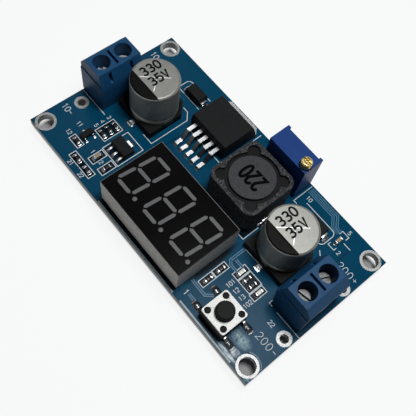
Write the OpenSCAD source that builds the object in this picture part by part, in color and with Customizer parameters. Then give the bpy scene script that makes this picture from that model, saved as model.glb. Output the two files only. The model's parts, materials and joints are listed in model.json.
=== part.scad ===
// Boost converter module with a three-digit voltmeter, two screw terminals and a multi-turn trimmer.
// X runs from the input terminal to the output terminal, Y from the display side to the trimmer side.
// The origin is under the middle of the module, at the tips of its clipped pins.

/* [Circuit board] */
// Length of the board, input end to output end
board_length = 66; // [60:0.5:76]
// Width of the board, display edge to trimmer edge
board_width = 36; // [33:0.5:42]
// Thickness of the board
board_thickness = 1.6; // [1:0.1:2.4]
// Reach of the clipped pins below the board
pin_stub = 1.8; // [1.4:0.1:3]
// Height of the solder cones below the board
solder_height = 1.1; // [0.5:0.1:1.3]
// Radial play of a pin in its hole
pin_play = 0.15; // [0.05:0.05:0.3]

/* [Holes and pads] */
// Bore of a mounting hole
mount_hole_d = 3.2; // [2.2:0.1:3.4]
// Width of the plated ring round a mounting hole
mount_ring = 0.55; // [0.3:0.05:0.6]
// Distance of a mounting hole from both board edges
mount_inset = 2.2; // [2.2:0.1:3]
// Bore of a wire hole
wire_hole_d = 1.7; // [1:0.1:2]
// Width of the plated ring round a wire hole
wire_ring = 0.65; // [0.3:0.05:0.7]
// Distance between the positive and the negative wire hole
wire_hole_spacing = 15; // [14.6:0.2:18]
// Distance of the input wire holes from the board's end
input_wire_inset = 2.6; // [1.8:0.1:4]
// Distance of the output wire holes from the board's end
output_wire_inset = 1.65; // [1.65:0.05:4]
// Thickness of the hole plating
plating = 0.05; // [0.03:0.01:0.1]

/* [Screw terminals] */
// Distance between the two poles
terminal_pitch = 5; // [4.8:0.1:5.1]
// Depth of the housing, back to wire side
terminal_depth = 7.55; // [7.4:0.05:8.4]
// Length of the housing's upper part along the board's end
terminal_length = 9.8; // [9.6:0.1:11]
// Height of the housing over the board
terminal_height = 10.3; // [9.8:0.1:12]
// Width of the flat top
terminal_top = 4.8; // [4.6:0.1:5]
// Back slope's inward run
terminal_back_run = 1.3; // [0.8:0.1:1.6]
// Height where the back slope starts
terminal_back_knee = 6.3; // [5.8:0.1:7]
// How far the foot of the back is set in
terminal_foot_inset = 0.6; // [0.2:0.1:0.8]
// Height where the slope over the wire holes starts
terminal_front_knee = 8.3; // [7:0.1:9]
// Step of the interlocking end faces
terminal_end_step = 0.18; // [0.1:0.02:0.3]
// Height of the end step
terminal_end_step_z = 7; // [5:0.1:8]
// How far the input housing overhangs the board's end
terminal_overhang = 0.3; // [0:0.05:0.6]
// How far the output housing is set back from the board's end
output_terminal_inset = 1; // [0.2:0.1:1.2]
// How far the output housing stands off the board's middle line
output_terminal_shift = 0.3; // [0:0.05:0.5]
// Distance of the screw axis from the back
screw_from_back = 3.8; // [3.6:0.1:4]
// Diameter of the screw's head
screw_head_d = 3; // [2.8:0.1:3.2]
// Gap between a screw's head and its well, on the radius
screw_head_gap = 0.25; // [0.05:0.05:0.3]
// Height of the screw's head
screw_head_h = 1.5; // [1:0.1:1.6]
// Diameter of the screw's shank
screw_d = 2.4; // [2:0.1:2.5]
// Rise of the screw from clamped to open
screw_rise = 2.4; // [1:0.1:2.5]
// Running clearance of the screw, on the radius
screw_clearance = 0.06; // [0.02:0.01:0.1]
// Width of a contact box across its pole
contact_width = 3.8; // [3.6:0.1:3.9]
// Depth of a contact box along the wire
contact_depth = 4.2; // [4:0.1:4.4]
// Wall of a contact box
contact_wall = 0.55; // [0.3:0.05:0.6]
// Thickness of the threaded top of a contact box
contact_nut = 1.3; // [0.8:0.1:1.4]
// Clear height inside a contact box
contact_window = 3; // [2.8:0.1:3.2]
// Height of a contact box over the board
contact_lift = 0.6; // [0.3:0.1:0.8]
// Thickness of the leaf that guards the wire
guard_thickness = 0.25; // [0.15:0.05:0.35]
// Depth of the recess round a wire's way in
mouth_recess = 0.9; // [0.4:0.1:1]
// Height of the recess's top over the board
mouth_top = 6.8; // [5.5:0.1:7.2]
// Wall between the two recesses
mouth_wall = 0.9; // [0.7:0.1:1.2]
// Diameter of a terminal's pin
terminal_pin_d = 1; // [0.8:0.1:1.2]
// Play between the pieces inside a terminal
terminal_play = 0.06; // [0.04:0.01:0.1]

/* [Electrolytic capacitors] */
// Diameter of the can
can_d = 10; // [8:0.1:10]
// Height of the capacitor over the board
capacitor_height = 10.4; // [9:0.1:12.5]
// Rounding of the can's top edge
can_edge = 0.55; // [0.3:0.05:0.8]
// Depth of the rolled bead near the can's foot
can_bead = 0.4; // [0.2:0.05:0.6]
// Height of the middle of the bead over the base's floor
can_bead_z = 1.9; // [1.6:0.1:3]
// How far the base is wider than the can
capacitor_base_margin = 0.3; // [0.2:0.05:0.3]
// Floor of the base under the can
capacitor_floor = 0.9; // [0.7:0.1:1.2]
// Height of the base's corner posts over its floor
capacitor_post = 0.9; // [0.4:0.1:1.2]
// Cut of the base's two corners on the positive side
capacitor_corner_cut = 2.2; // [1:0.1:2.6]
// Width of a lead strip
capacitor_lead_w = 1.1; // [0.7:0.1:1.4]
// Reach of a lead strip past the base
capacitor_lead_reach = 0.75; // [0.4:0.05:1]
// Distance of both capacitors from the board's middle line
capacitor_y = 3.5; // [2.5:0.1:4]

/* [Switching regulator] */
// Width of the moulded body
regulator_width = 10.2; // [9.6:0.1:10.4]
// Length of the moulded body
regulator_length = 8.9; // [8.6:0.1:9.2]
// Height of the moulded body
regulator_height = 4.4; // [4:0.1:4.7]
// Thickness of the cooling tab
tab_thickness = 1.27; // [1:0.01:1.4]
// Reach of the cooling tab past the body
tab_reach = 1.3; // [0.8:0.1:1.5]
// Pitch of the leads
regulator_pitch = 1.7; // [1.5:0.05:1.8]
// Width of a lead
regulator_lead_w = 0.85; // [0.6:0.05:0.95]
// Thickness of a lead
regulator_lead_t = 0.5; // [0.35:0.05:0.6]
// Reach of the leads from the body
regulator_lead_reach = 5.1; // [4.6:0.1:5.4]
// Distance of the tab's end from the trimmer edge
regulator_edge_gap = 0.85; // [0.4:0.05:1.2]

/* [Storage inductor] */
// Width of the square shield
shield_width = 12.2; // [11.4:0.1:12.4]
// Rounding of the shield's corners
shield_corner = 2; // [1.2:0.1:2.6]
// Height of the inductor over the board
inductor_height = 7.7; // [6.5:0.1:9]
// Thickness of the base plate
inductor_base_t = 0.6; // [0.4:0.1:0.9]
// Diameter of the drum core's flanges
core_d = 9.1; // [8.4:0.1:9.4]
// Gap between the core's flange and the shield
core_gap = 0.8; // [0.5:0.05:0.85]
// Depth of the sealing compound below the top
filler_depth = 0.6; // [0.3:0.05:1]
// Radius of the four corner lobes in the shield
lobe_r = 1.25; // [0.8:0.05:1.3]

/* [Diodes] */
// Length of a diode's body
diode_length = 4.3; // [4:0.05:4.5]
// Width of a diode's body
diode_width = 2.6; // [2.3:0.05:2.8]
// Height of a diode over the board
diode_height = 2.2; // [1.9:0.05:2.4]
// Width of a diode's lead
diode_lead_w = 1.45; // [1.2:0.05:1.6]
// Input diode's offset from its capacitor, towards the output
input_diode_offset = 2.95; // [1.8:0.05:3.2]
// Output diode's offset from its capacitor, towards the output
output_diode_offset = 0.8; // [0.4:0.05:1]
// Gap between the input diode and its capacitor's lead
input_diode_gap = 1.55; // [0.6:0.05:1.8]
// Gap between the output diode and its capacitor's lead
output_diode_gap = 1.05; // [0.6:0.05:1.8]

/* [Trimmer] */
// Length of the trimmer's body
trimmer_length = 9.53; // [9:0.01:9.8]
// Width of the trimmer's body over its ribs
trimmer_width = 4.83; // [4.6:0.01:4.9]
// Height of the trimmer's body over the board
trimmer_height = 10.1; // [9.5:0.1:11]
// Height of the feet under the body
trimmer_foot = 0.4; // [0.3:0.05:0.6]
// Depth of the two ribs on the outer face
trimmer_rib = 0.46; // [0.3:0.02:0.6]
// Diameter of the adjusting screw
trimmer_screw_d = 2.2; // [1.8:0.05:2.3]
// Height of the adjusting screw over the body
trimmer_screw_h = 1.5; // [1.2:0.05:2]
// Distance of the adjusting screw from the body's end
trimmer_screw_from_end = 1.3; // [1.3:0.02:1.6]
// Distance of the adjusting screw from the body's inner face
trimmer_screw_from_face = 1.35; // [1.3:0.02:1.6]
// Pitch of the trimmer's pins
trimmer_pin_pitch = 2.54; // [2:0.01:2.6]
// Trimmer's offset from the inductor's middle, towards the output
trimmer_offset = 1.23; // [0.6:0.01:1.6]

/* [Display] */
// Length of the display's housing
display_length = 22.6; // [22:0.1:22.8]
// Width of the display's housing
display_width = 14.1; // [13.8:0.1:14.2]
// Height of the display over the board
display_height = 7.35; // [7:0.05:9]
// Height of the feet under the housing
display_foot = 0.2; // [0.1:0.05:0.4]
// Wall of the housing
display_wall = 1; // [0.8:0.1:1.2]
// Thickness of the housing's front
display_front = 1.8; // [1.2:0.1:2.2]
// Thickness of the black face
face_thickness = 0.25; // [0.15:0.05:0.4]
// Strip of the housing left bare round the face
face_margin = 0.2; // [0.1:0.05:0.4]
// Room left under the display's backing
display_recess = 1.7; // [1.5:0.1:2]
// Pitch of the digits
digit_pitch = 7.5; // [7.2:0.05:7.6]
// Distance between a digit's top and bottom segments
digit_height = 8.5; // [8:0.1:8.8]
// Distance between a digit's left and right segments
digit_width = 4.1; // [3.8:0.1:4.3]
// Width of a segment
segment_w = 0.85; // [0.6:0.05:0.95]
// Gap between neighbouring segments
segment_gap = 0.14; // [0.06:0.02:0.2]
// Slant of the digits, as run over rise
digit_slant = 0.092; // [0:0.002:0.12]
// Diameter of a decimal point
point_d = 1; // [0.7:0.05:1.1]
// Pitch of the display's pins
display_pin_pitch = 2.54; // [2.3:0.01:2.6]
// Distance between the display's two rows of pins
display_row_spacing = 10.16; // [9.8:0.02:10.4]
// Display's distance from the board's middle, towards the output
display_x = 1; // [0.6:0.05:1.2]

/* [Push button] */
// Width of the square switch
switch_width = 6; // [5.8:0.05:6.2]
// Height of the cover plate over the board
switch_plate_z = 3.45; // [3.2:0.05:3.8]
// Thickness of the cover plate
switch_plate_t = 0.35; // [0.25:0.05:0.5]
// Diameter of the button
button_d = 3.5; // [3:0.05:3.6]
// Height of the button over the cover plate
button_rise = 1.5; // [0.8:0.1:3]
// Travel of the button
button_travel = 0.25; // [0.15:0.01:0.35]
// Running clearance of the button, on the radius
button_clearance = 0.06; // [0.02:0.01:0.1]
// Diameter of the rivet pegs at the corners
peg_d = 1.16; // [0.9:0.02:1.2]
// Distance between the rivet pegs
peg_spacing = 4.24; // [4.2:0.02:4.4]
// Distance between the two leads on one side
switch_lead_pitch = 4.5; // [4.2:0.05:4.7]
// Reach of a lead from the switch's side
switch_lead_reach = 1.7; // [1.2:0.05:2]
// Switch's distance from the display edge
switch_from_edge = 4.35; // [4.1:0.05:4.6]

/* [Small packages] */
// Length of the logic supply's body
supply_length = 4.5; // [4.2:0.05:4.6]
// Width of the logic supply's body
supply_width = 2.5; // [2.3:0.05:2.6]
// Height of the logic supply over the board
supply_height = 1.5; // [1.3:0.05:1.7]
// Length of the transistor's body
transistor_length = 2.9; // [2.6:0.05:3]
// Width of the transistor's body
transistor_width = 1.3; // [1.1:0.05:1.4]
// Height of the transistor over the board
transistor_height = 1.05; // [0.9:0.05:1.2]
// Length of the display controller's body
controller_length = 6.5; // [6.2:0.05:6.8]
// Width of the display controller's body
controller_width = 4.4; // [4:0.05:4.5]
// Height of the display controller over the board
controller_height = 1.1; // [0.9:0.05:1.2]
// Leads on each side of the display controller
controller_leads_per_side = 10; // [8:1:10]

/* [Layout along the board] */
// Share of the free length between the input terminal and its capacitor
input_gap = 0.05; // [0.05:0.05:0.6]
// Share of the free length between the input capacitor and the regulator
capacitor_regulator_gap = 2.4; // [1.6:0.1:3]
// Share of the free length between the regulator and the inductor
regulator_inductor_gap = 2.4; // [1.6:0.1:3]
// Share of the free length between the inductor and the output capacitor
inductor_capacitor_gap = 1.2; // [0.6:0.1:2]
// Share of the free length between the output capacitor and its terminal
output_gap = 0.75; // [0.4:0.05:1.6]
// Part of the free length that lies between the display and the push button's group
button_group_share = 0.42; // [0.2:0.02:0.8]

/* [Layout across the board] */
// Share of the free width between the display edge and the display
display_edge_gap = 1.15; // [0.6:0.05:1.4]
// Share of the free width between the display and the inductor
display_inductor_gap = 2.4; // [1.6:0.1:3]
// Share of the free width between the inductor and the trimmer
inductor_trimmer_gap = 0.94; // [0.6:0.02:1.4]
// Share of the free width between the trimmer's ribs and the trimmer edge
trimmer_edge_gap = 0.38; // [0.2:0.02:0.6]

/* [Chip parts] */
// Length of a chip part
chip_length = 1.6; // [1.4:0.05:1.75]
// Width of a chip part
chip_width = 0.8; // [0.6:0.02:0.9]
// Length of a chip part's metal end
chip_end = 0.32; // [0.2:0.02:0.4]
// Height of a chip resistor
resistor_height = 0.5; // [0.4:0.02:0.6]
// Height of a ceramic capacitor
ceramic_height = 0.8; // [0.6:0.02:0.95]
// Height of an indicator lamp
indicator_height = 0.6; // [0.5:0.02:0.8]

/* [Hidden] */
$fn = 48;
// Overshoot of a cut past the face that it opens
cut = 1;

// Frame: board coordinates are measured from the board's middle, heights from its top face
origin_shift = terminal_overhang / 2;
board_top = pin_stub + board_thickness;
pin_depth = board_thickness + pin_stub;
input_end = -board_length / 2;
output_end = board_length / 2;
display_edge = -board_width / 2;
trimmer_edge = board_width / 2;

// Hole places
mount_x = board_length / 2 - mount_inset;
mount_y = board_width / 2 - mount_inset;
mount_points = [for (x = [-mount_x, mount_x], y = [-mount_y, mount_y]) [x, y]];
wire_points = [
    for (x = [input_end + input_wire_inset, output_end - output_wire_inset])
        for (side = [-1, 1]) [x, side * wire_hole_spacing / 2]
];

// Terminal places: the backs face the board's middle
input_back = input_end - terminal_overhang + terminal_depth;
output_back = output_end - output_terminal_inset - terminal_depth;
contact_floor = contact_lift + contact_wall;
contact_ceiling = contact_floor + contact_window;
contact_top = contact_ceiling + contact_nut;
well_r = screw_head_d / 2 + screw_head_gap;
window_w = contact_width - 2 * contact_wall;
guard_top = contact_floor + terminal_play + guard_thickness;
// Turn of each screw's slot, in degrees
screw_slot_turns = [35, -25, 65, 12];
slot_w = 0.6;
slot_depth = 0.65;
wire_funnel = 0.35;
groove_w = 0.5;
groove_depth = 1.1;
groove_margin = 0.55;
back_slot_w = 0.6;
back_slot_depth = 0.45;
back_slot_length = 2.8;
terminal_pin_points = [
    for (side = [-1, 1]) [input_back - screw_from_back, side * terminal_pitch / 2],
    for (side = [-1, 1]) [output_back + screw_from_back, output_terminal_shift + side * terminal_pitch / 2]
];

// Row along the board between the terminals: capacitor, regulator, inductor, capacitor
function total(list, i = 0) = i < len(list) ? list[i] + total(list, i + 1) : 0;
capacitor_base_w = can_d + capacitor_base_margin;
inductor_tab_t = 0.2;
inductor_span = shield_width + 2 * inductor_tab_t;
row_spans = [capacitor_base_w, regulator_width, inductor_span, capacitor_base_w];
row_gaps = [
    input_gap, capacitor_regulator_gap, regulator_inductor_gap,
    inductor_capacitor_gap, output_gap
];
row_scale = (output_back - input_back - total(row_spans)) / total(row_gaps);
function row_gaps_to(i) = row_scale * total([for (k = [0 : i]) row_gaps[k]]);
function row_spans_to(i) = total([for (k = [0 : i]) row_spans[k]]);
function row_middle(i) = input_back + row_gaps_to(i) + row_spans_to(i) - row_spans[i] / 2;

// Column across the board between its edges: display, inductor, trimmer
column_gaps = [display_edge_gap, display_inductor_gap, inductor_trimmer_gap, trimmer_edge_gap];
column_scale = (board_width - display_width - shield_width - trimmer_width) / total(column_gaps);
display_y = display_edge + column_scale * display_edge_gap + display_width / 2;
inductor_y = display_y + (display_width + shield_width) / 2 + column_scale * display_inductor_gap;
trimmer_y = trimmer_edge - column_scale * trimmer_edge_gap - trimmer_width / 2;

// Capacitors
input_capacitor = [row_middle(0), capacitor_y];
output_capacitor = [row_middle(3), capacitor_y];
capacitor_post_gap = 0.1;
capacitor_lead_t = 0.2;
capacitor_lead_start = 1.2;

// Regulator: the local origin is the middle of the face that the leads leave
regulator_face_y = trimmer_edge - regulator_edge_gap - tab_reach - regulator_length;
regulator_place = [row_middle(1), regulator_face_y];
regulator_draft = 0.25;
regulator_band = [1.8, 3];
regulator_tab_slope = 1.05;
regulator_lead_z = 2.15;
regulator_shoulder = 1.95;
regulator_foot = 1.8;
slug_margin = 0.8;
slug_start = 2;
tab_corner = 1.2;

// Inductor
inductor_place = [row_middle(2), inductor_y];
inductor_terminal_t = 0.3;
inductor_terminal_w = 5;
inductor_terminal_l = 2.6;
inductor_tab_w = 3;
shield_foot = inductor_terminal_t + inductor_base_t;
bore_r = core_d / 2 + core_gap;
lobe_place = (bore_r + 0.35) * cos(45);
core_flange = 1.6;
core_stem_r = 2.4;
core_play = 0.05;
core_rise = 0.05;

// Diodes
diode_start = capacitor_y + capacitor_base_w / 2 + capacitor_lead_reach + diode_width / 2;
input_diode = [input_capacitor.x + input_diode_offset, diode_start + input_diode_gap];
output_diode = [output_capacitor.x + output_diode_offset, diode_start + output_diode_gap];
diode_draft = 0.18;
diode_lead_t = 0.22;
diode_lead_out = 0.45;
diode_lead_under = 0.9;
diode_clearance = 0.05;

// Trimmer
trimmer_place = [inductor_place.x + trimmer_offset, trimmer_y];
trimmer_screw_x = trimmer_length / 2 - trimmer_screw_from_end;
trimmer_screw_y = -trimmer_width / 2 + trimmer_screw_from_face;
trimmer_bore_depth = 2.2;
trimmer_rim = 0.12;
trimmer_rim_depth = 0.35;
trimmer_rib_w = 0.75;
trimmer_foot_w = 1.2;
trimmer_pin_d = 0.5;
trimmer_pin_points = [
    for (i = [-1:1]) [trimmer_place.x + i * trimmer_pin_pitch, trimmer_place.y]
];

// Display
display_place = [display_x, display_y];
display_body_top = display_height - face_thickness;
display_cell_z = display_body_top - display_front;
segment_play = 0.02;
backing_play = 0.05;
display_foot_d = 1.4;
display_foot_inset = 1.1;
display_pin_d = 0.5;
display_pins_per_row = 6;
point_place = [digit_width / 2 + 1.15, -digit_height / 2];
display_pin_points = [
    for (side = [-1, 1], i = [0 : display_pins_per_row - 1]) [
        display_place.x + (i - (display_pins_per_row - 1) / 2) * display_pin_pitch,
        display_place.y + side * display_row_spacing / 2
    ]
];

// Push button: its group also holds a column of chip parts, and stands between display and mounting hole
group_start = display_place.x + display_length / 2;
group_end = mount_x - mount_hole_d / 2 - mount_ring;
group_column_gap = 1.9;
switch_span = switch_width + 2 * switch_lead_reach;
group_free = group_end - group_start - switch_span - group_column_gap - chip_width;
group_column_x = group_start + button_group_share * group_free + chip_width / 2;
switch_x = group_column_x + chip_width / 2 + group_column_gap + switch_span / 2;
switch_place = [switch_x, display_edge + switch_from_edge];
switch_base_top = switch_plate_z - switch_plate_t;
switch_floor = 1;
switch_corner = 0.5;
switch_cavity_r = 2.35;
button_flange_r = 2.2;
button_flange_h = 0.6;
button_play = 0.05;
button_edge = 0.2;
button_nub_r = 0.9;
dome_r = 2.1;
dome_t = 0.1;
dome_rise = 0.4;
peg_head = 0.12;
peg_play = 0.03;
switch_lead_w = 0.7;
switch_lead_t = 0.22;
switch_lead_z = 0.75;
switch_lead_foot = 0.9;

// Small packages
supply_from_end = 16.4;
supply_from_edge = 10.65;
supply_place = [input_end + supply_from_end, display_edge + supply_from_edge];
supply_lead_t = 0.4;
supply_pitch = 1.5;
supply_lead_w = 0.5;
supply_lead_reach = 1.1;
supply_tab_w = 1.7;
supply_tab_reach = 0.85;
transistor_from_end = 9.6;
transistor_from_edge = 6.95;
transistor_place = [input_end + transistor_from_end, display_edge + transistor_from_edge];
transistor_lead_z = 0.4;
transistor_pitch = 1.9;
transistor_lead_w = 0.42;
transistor_lead_t = 0.14;
transistor_lead_reach = 0.55;
controller_place = display_place;
controller_pitch = 0.65;
controller_lead_w = 0.25;
controller_lead_t = 0.12;
controller_lead_reach = 1;
package_lift = 0.1;
package_draft = 0.08;

// Chip parts: each place has its turn in degrees
trio_from_end = 11.2;
trio_from_edge = 12.6;
trio_pitch = 1.55;
pair_from_end = 12.85;
pair_pitch = 3.2;
pair_from_edge = 2.3;
uprights_from_end = 14.85;
uprights_pitch = 3.1;
uprights_from_edge = 5.65;
transistor_chip_gap = 0.6;
transistor_chip_y = transistor_place.y - (transistor_length + chip_width) / 2 - transistor_chip_gap;
lamp_row_from_edge = 12.55;
lamp_row_y = display_edge + lamp_row_from_edge;
lamp_row_offsets = [-4.15, -2.5, -1, 0.8];
column_from_edge = 10;
column_pitch = 3.15;
corner_chip_from_end = 8.9;
corner_chip_from_edge = 4.4;
resistor_places = [
    for (row = [0:2]) [input_end + trio_from_end, display_edge + trio_from_edge - row * trio_pitch, 0],
    [transistor_place.x, transistor_chip_y, 0],
    [input_end + uprights_from_end + uprights_pitch, display_edge + uprights_from_edge, 90],
    for (i = [0:1]) [input_end + pair_from_end + i * pair_pitch, display_edge + pair_from_edge, 0],
    for (i = [1:2]) [switch_place.x + lamp_row_offsets[i], lamp_row_y, 90],
    for (row = [0:1]) [group_column_x, display_edge + column_from_edge - row * column_pitch, 90]
];
ceramic_places = [
    [input_end + uprights_from_end, display_edge + uprights_from_edge, 90],
    [output_end - corner_chip_from_end, trimmer_edge - corner_chip_from_edge, 90]
];
indicator_places = [for (i = [0, 3]) [switch_place.x + lamp_row_offsets[i], lamp_row_y, 90]];
chip_body_inset = 0.03;

// Puts a piece on the board's top face
module on_board(place) {
    translate([place.x + origin_shift, place.y, board_top]) children();
}

// Block with its foot on the plane, centred on both axes
module block(length, width, height) {
    translate([-length / 2, -width / 2, 0]) cube([length, width, height]);
}

// Rectangle with round corners
module rounded_rectangle(length, width, corner) {
    square([length - 2 * corner, width], center = true);
    square([length, width - 2 * corner], center = true);
    for (x = [-1, 1], y = [-1, 1])
        translate([x * (length / 2 - corner), y * (width / 2 - corner)]) circle(r = corner);
}

// Profile drawn in X and Z, drawn out along Y and centred there
module along_y(length) {
    rotate([90, 0, 0]) linear_extrude(length, center = true) children();
}

// Profile drawn in Y and Z, drawn out along X and centred there
module along_x(length) {
    rotate([90, 0, 90]) linear_extrude(length, center = true) children();
}

// Outline of a moulded package with sloped sides and an upright band between two heights
module draft_outline(half, foot, low, high, top, draft) {
    polygon([
        [-half + draft, foot], [-half, low], [-half, high], [-half + draft, top],
        [half - draft, top], [half, high], [half, low], [half - draft, foot]
    ]);
}

// Moulded package: both side views meet
module package(length, width, foot, low, high, top, draft) {
    intersection() {
        along_y(width) draft_outline(length / 2, foot, low, high, top, draft);
        along_x(length) draft_outline(width / 2, foot, low, high, top, draft);
    }
}

// Bent strip: leaves a body at reach 0 and height z, drops and ends in a foot on the board
module gull_wing(width, thickness, z, shoulder, reach, foot) {
    drop = reach - foot;
    along_y(width) polygon([
        [0, z], [shoulder, z], [drop, 0], [reach, 0],
        [reach, thickness], [drop + thickness / 2, thickness],
        [shoulder + thickness / 2, z + thickness], [0, z + thickness]
    ]);
}

// Circuit board and its holes
module drilled(points, radius) {
    for (point = points)
        translate([point.x + origin_shift, point.y, pin_stub - cut])
            cylinder(r = radius, h = board_thickness + 2 * cut);
}

module circuit_board() {
    color("#0b4170") difference() {
        translate([origin_shift, 0, pin_stub]) block(board_length, board_width, board_thickness);
        drilled(mount_points, mount_hole_d / 2 + plating);
        drilled(wire_points, wire_hole_d / 2 + plating);
        drilled(terminal_pin_points, terminal_pin_d / 2 + pin_play);
        drilled(trimmer_pin_points, trimmer_pin_d / 2 + pin_play);
        drilled(display_pin_points, display_pin_d / 2 + pin_play);
    }
}

// Plated barrel with a ring on each face of the board
module eyelet(point, hole_d, ring) {
    translate([point.x + origin_shift, point.y, pin_stub - plating]) difference() {
        union() {
            cylinder(r = hole_d / 2 + plating, h = board_thickness + 2 * plating);
            for (z = [0, board_thickness + plating])
                translate([0, 0, z]) cylinder(r = hole_d / 2 + ring, h = plating);
        }
        translate([0, 0, -cut]) cylinder(r = hole_d / 2, h = board_thickness + 2 * (cut + plating));
    }
}

module hole_plating() {
    color("#c9ccce") {
        for (point = mount_points) eyelet(point, mount_hole_d, mount_ring);
        for (point = wire_points) eyelet(point, wire_hole_d, wire_ring);
    }
}

// Solder cone round a pin, under the board
module solder_cone(point, pin_d) {
    inner = pin_d / 2 + segment_play;
    foot = inner + 0.6;
    tip = inner + 0.12;
    waist = inner + 0.25;
    translate([point.x + origin_shift, point.y, pin_stub]) rotate_extrude() polygon([
        [inner, 0], [foot, 0], [waist, -solder_height / 2], [tip, -solder_height], [inner, -solder_height]
    ]);
}

module through_hole_solder() {
    color("#b9bcc0") {
        for (point = terminal_pin_points) solder_cone(point, terminal_pin_d);
        for (point = trimmer_pin_points) solder_cone(point, trimmer_pin_d);
        for (point = display_pin_points) solder_cone(point, display_pin_d);
    }
}

// Screw terminals: X runs from the back to the wire side
module at_input_terminal() {
    on_board([input_back, 0]) rotate([0, 0, 180]) children();
}

module at_output_terminal() {
    on_board([output_back, output_terminal_shift]) children();
}

module at_pole(side) {
    translate([screw_from_back, side * terminal_pitch / 2, 0]) children();
}

module terminal_outline() {
    polygon([
        [terminal_foot_inset, 0], [0, terminal_back_knee],
        [terminal_back_run, terminal_height], [terminal_back_run + terminal_top, terminal_height],
        [terminal_depth, terminal_front_knee], [terminal_depth, 0]
    ]);
}

// Hollows of one pole: screw well, contact chamber, wire mouth and the slot in the back
module pole_hollows() {
    chamber_w = contact_width + 2 * terminal_play;
    chamber_d = contact_depth + 2 * terminal_play;
    mouth = terminal_depth - screw_from_back;
    mouth_w = terminal_pitch - mouth_wall;
    recess_z = contact_floor - wire_funnel;
    translate([0, 0, contact_top]) cylinder(r = well_r, h = terminal_height);
    translate([0, 0, -cut]) block(chamber_d, chamber_w, contact_top + terminal_play + cut);
    translate([0, -window_w / 2, contact_floor]) cube([mouth + cut, window_w, contact_window]);
    translate([mouth - mouth_recess, -mouth_w / 2, recess_z])
        cube([mouth_recess + cut, mouth_w, mouth_top - recess_z]);
    translate([-screw_from_back - cut, -back_slot_w / 2, terminal_height - back_slot_length])
        cube([cut + terminal_back_run + back_slot_depth, back_slot_w, back_slot_length - groove_margin]);
}

module terminal_housing() {
    groove_l = terminal_top - 2 * groove_margin;
    color("#1f4d86") difference() {
        union() {
            along_y(terminal_length) terminal_outline();
            along_y(terminal_length + 2 * terminal_end_step) intersection() {
                terminal_outline();
                square([terminal_depth, terminal_end_step_z]);
            }
        }
        for (side = [-1, 1]) at_pole(side) pole_hollows();
        translate([terminal_back_run + groove_margin, -groove_w / 2, terminal_height - groove_depth])
            cube([groove_l, groove_w, groove_depth + cut]);
    }
}

module terminal_contact() {
    color("#c4c7c9") {
        difference() {
            union() {
                translate([0, 0, contact_lift])
                    block(contact_depth, contact_width, contact_top - contact_lift);
                translate([0, 0, -pin_depth]) cylinder(d = terminal_pin_d, h = pin_depth + contact_floor);
            }
            translate([0, 0, contact_floor]) block(contact_depth + 2 * cut, window_w, contact_window);
            translate([0, 0, contact_floor]) cylinder(r = screw_d / 2 + screw_clearance, h = contact_top);
        }
    }
}

module terminal_contacts() {
    for (side = [-1, 1]) at_pole(side) terminal_contact();
}

// Slotted clamping screw, driven home
module terminal_screw(slot_turn) {
    head_z = contact_top + 2 * terminal_play;
    head_r = screw_head_d / 2;
    tip_z = guard_top + terminal_play;
    head_edge = 0.2;
    color("#d3d5d6") difference() {
        rotate_extrude() polygon([
            [0, tip_z], [screw_d / 2 - head_edge, tip_z],
            [screw_d / 2, tip_z + head_edge], [screw_d / 2, head_z],
            [head_r, head_z], [head_r, head_z + screw_head_h - head_edge],
            [head_r - head_edge, head_z + screw_head_h], [0, head_z + screw_head_h]
        ]);
        rotate([0, 0, slot_turn]) translate([0, 0, head_z + screw_head_h - slot_depth])
            block(screw_head_d + cut, slot_w, slot_depth + cut);
    }
}

// Leaf between the screw's tip and the wire
module wire_guard() {
    color("#b98f55") translate([0, 0, contact_floor + terminal_play])
        block(contact_depth - 2 * terminal_play, window_w - 2 * terminal_play, guard_thickness);
}

module input_terminal_housing() { at_input_terminal() terminal_housing(); }
module input_terminal_contacts() { at_input_terminal() terminal_contacts(); }
module input_positive_screw() { at_input_terminal() at_pole(-1) terminal_screw(screw_slot_turns[0]); }
module input_negative_screw() { at_input_terminal() at_pole(1) terminal_screw(screw_slot_turns[1]); }
module input_positive_guard() { at_input_terminal() at_pole(-1) wire_guard(); }
module input_negative_guard() { at_input_terminal() at_pole(1) wire_guard(); }
module output_terminal_housing() { at_output_terminal() terminal_housing(); }
module output_terminal_contacts() { at_output_terminal() terminal_contacts(); }
module output_positive_screw() { at_output_terminal() at_pole(1) terminal_screw(screw_slot_turns[2]); }
module output_negative_screw() { at_output_terminal() at_pole(-1) terminal_screw(screw_slot_turns[3]); }
module output_positive_guard() { at_output_terminal() at_pole(1) wire_guard(); }
module output_negative_guard() { at_output_terminal() at_pole(-1) wire_guard(); }

// Electrolytic capacitors: the positive side faces the trimmer edge
module capacitor_can() {
    r = can_d / 2;
    foot = capacitor_floor;
    bead = foot + can_bead_z;
    edge_steps = 6;
    color("#c3c5c6") rotate_extrude() polygon(concat(
        [
            [0, foot], [r - can_bead, foot], [r, foot + can_bead],
            [r, bead - can_bead], [r - can_bead, bead], [r, bead + can_bead]
        ],
        [
            for (i = [0 : edge_steps]) let (a = i * 90 / edge_steps)
                [r - can_edge * (1 - cos(a)), capacitor_height - can_edge * (1 - sin(a))]
        ],
        [[0, capacitor_height]]
    ));
}

module capacitor_base() {
    half = capacitor_base_w / 2;
    flat = half - capacitor_corner_cut;
    color("#17181a") difference() {
        linear_extrude(capacitor_floor + capacitor_post) polygon([
            [-half, -half], [half, -half], [half, flat], [flat, half], [-flat, half], [-half, flat]
        ]);
        translate([0, 0, capacitor_floor])
            cylinder(r = half + capacitor_post_gap, h = capacitor_post + cut);
        translate([0, 0, -cut]) block(capacitor_lead_w, capacitor_base_w + 2 * cut, capacitor_lead_t + cut);
    }
}

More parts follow.
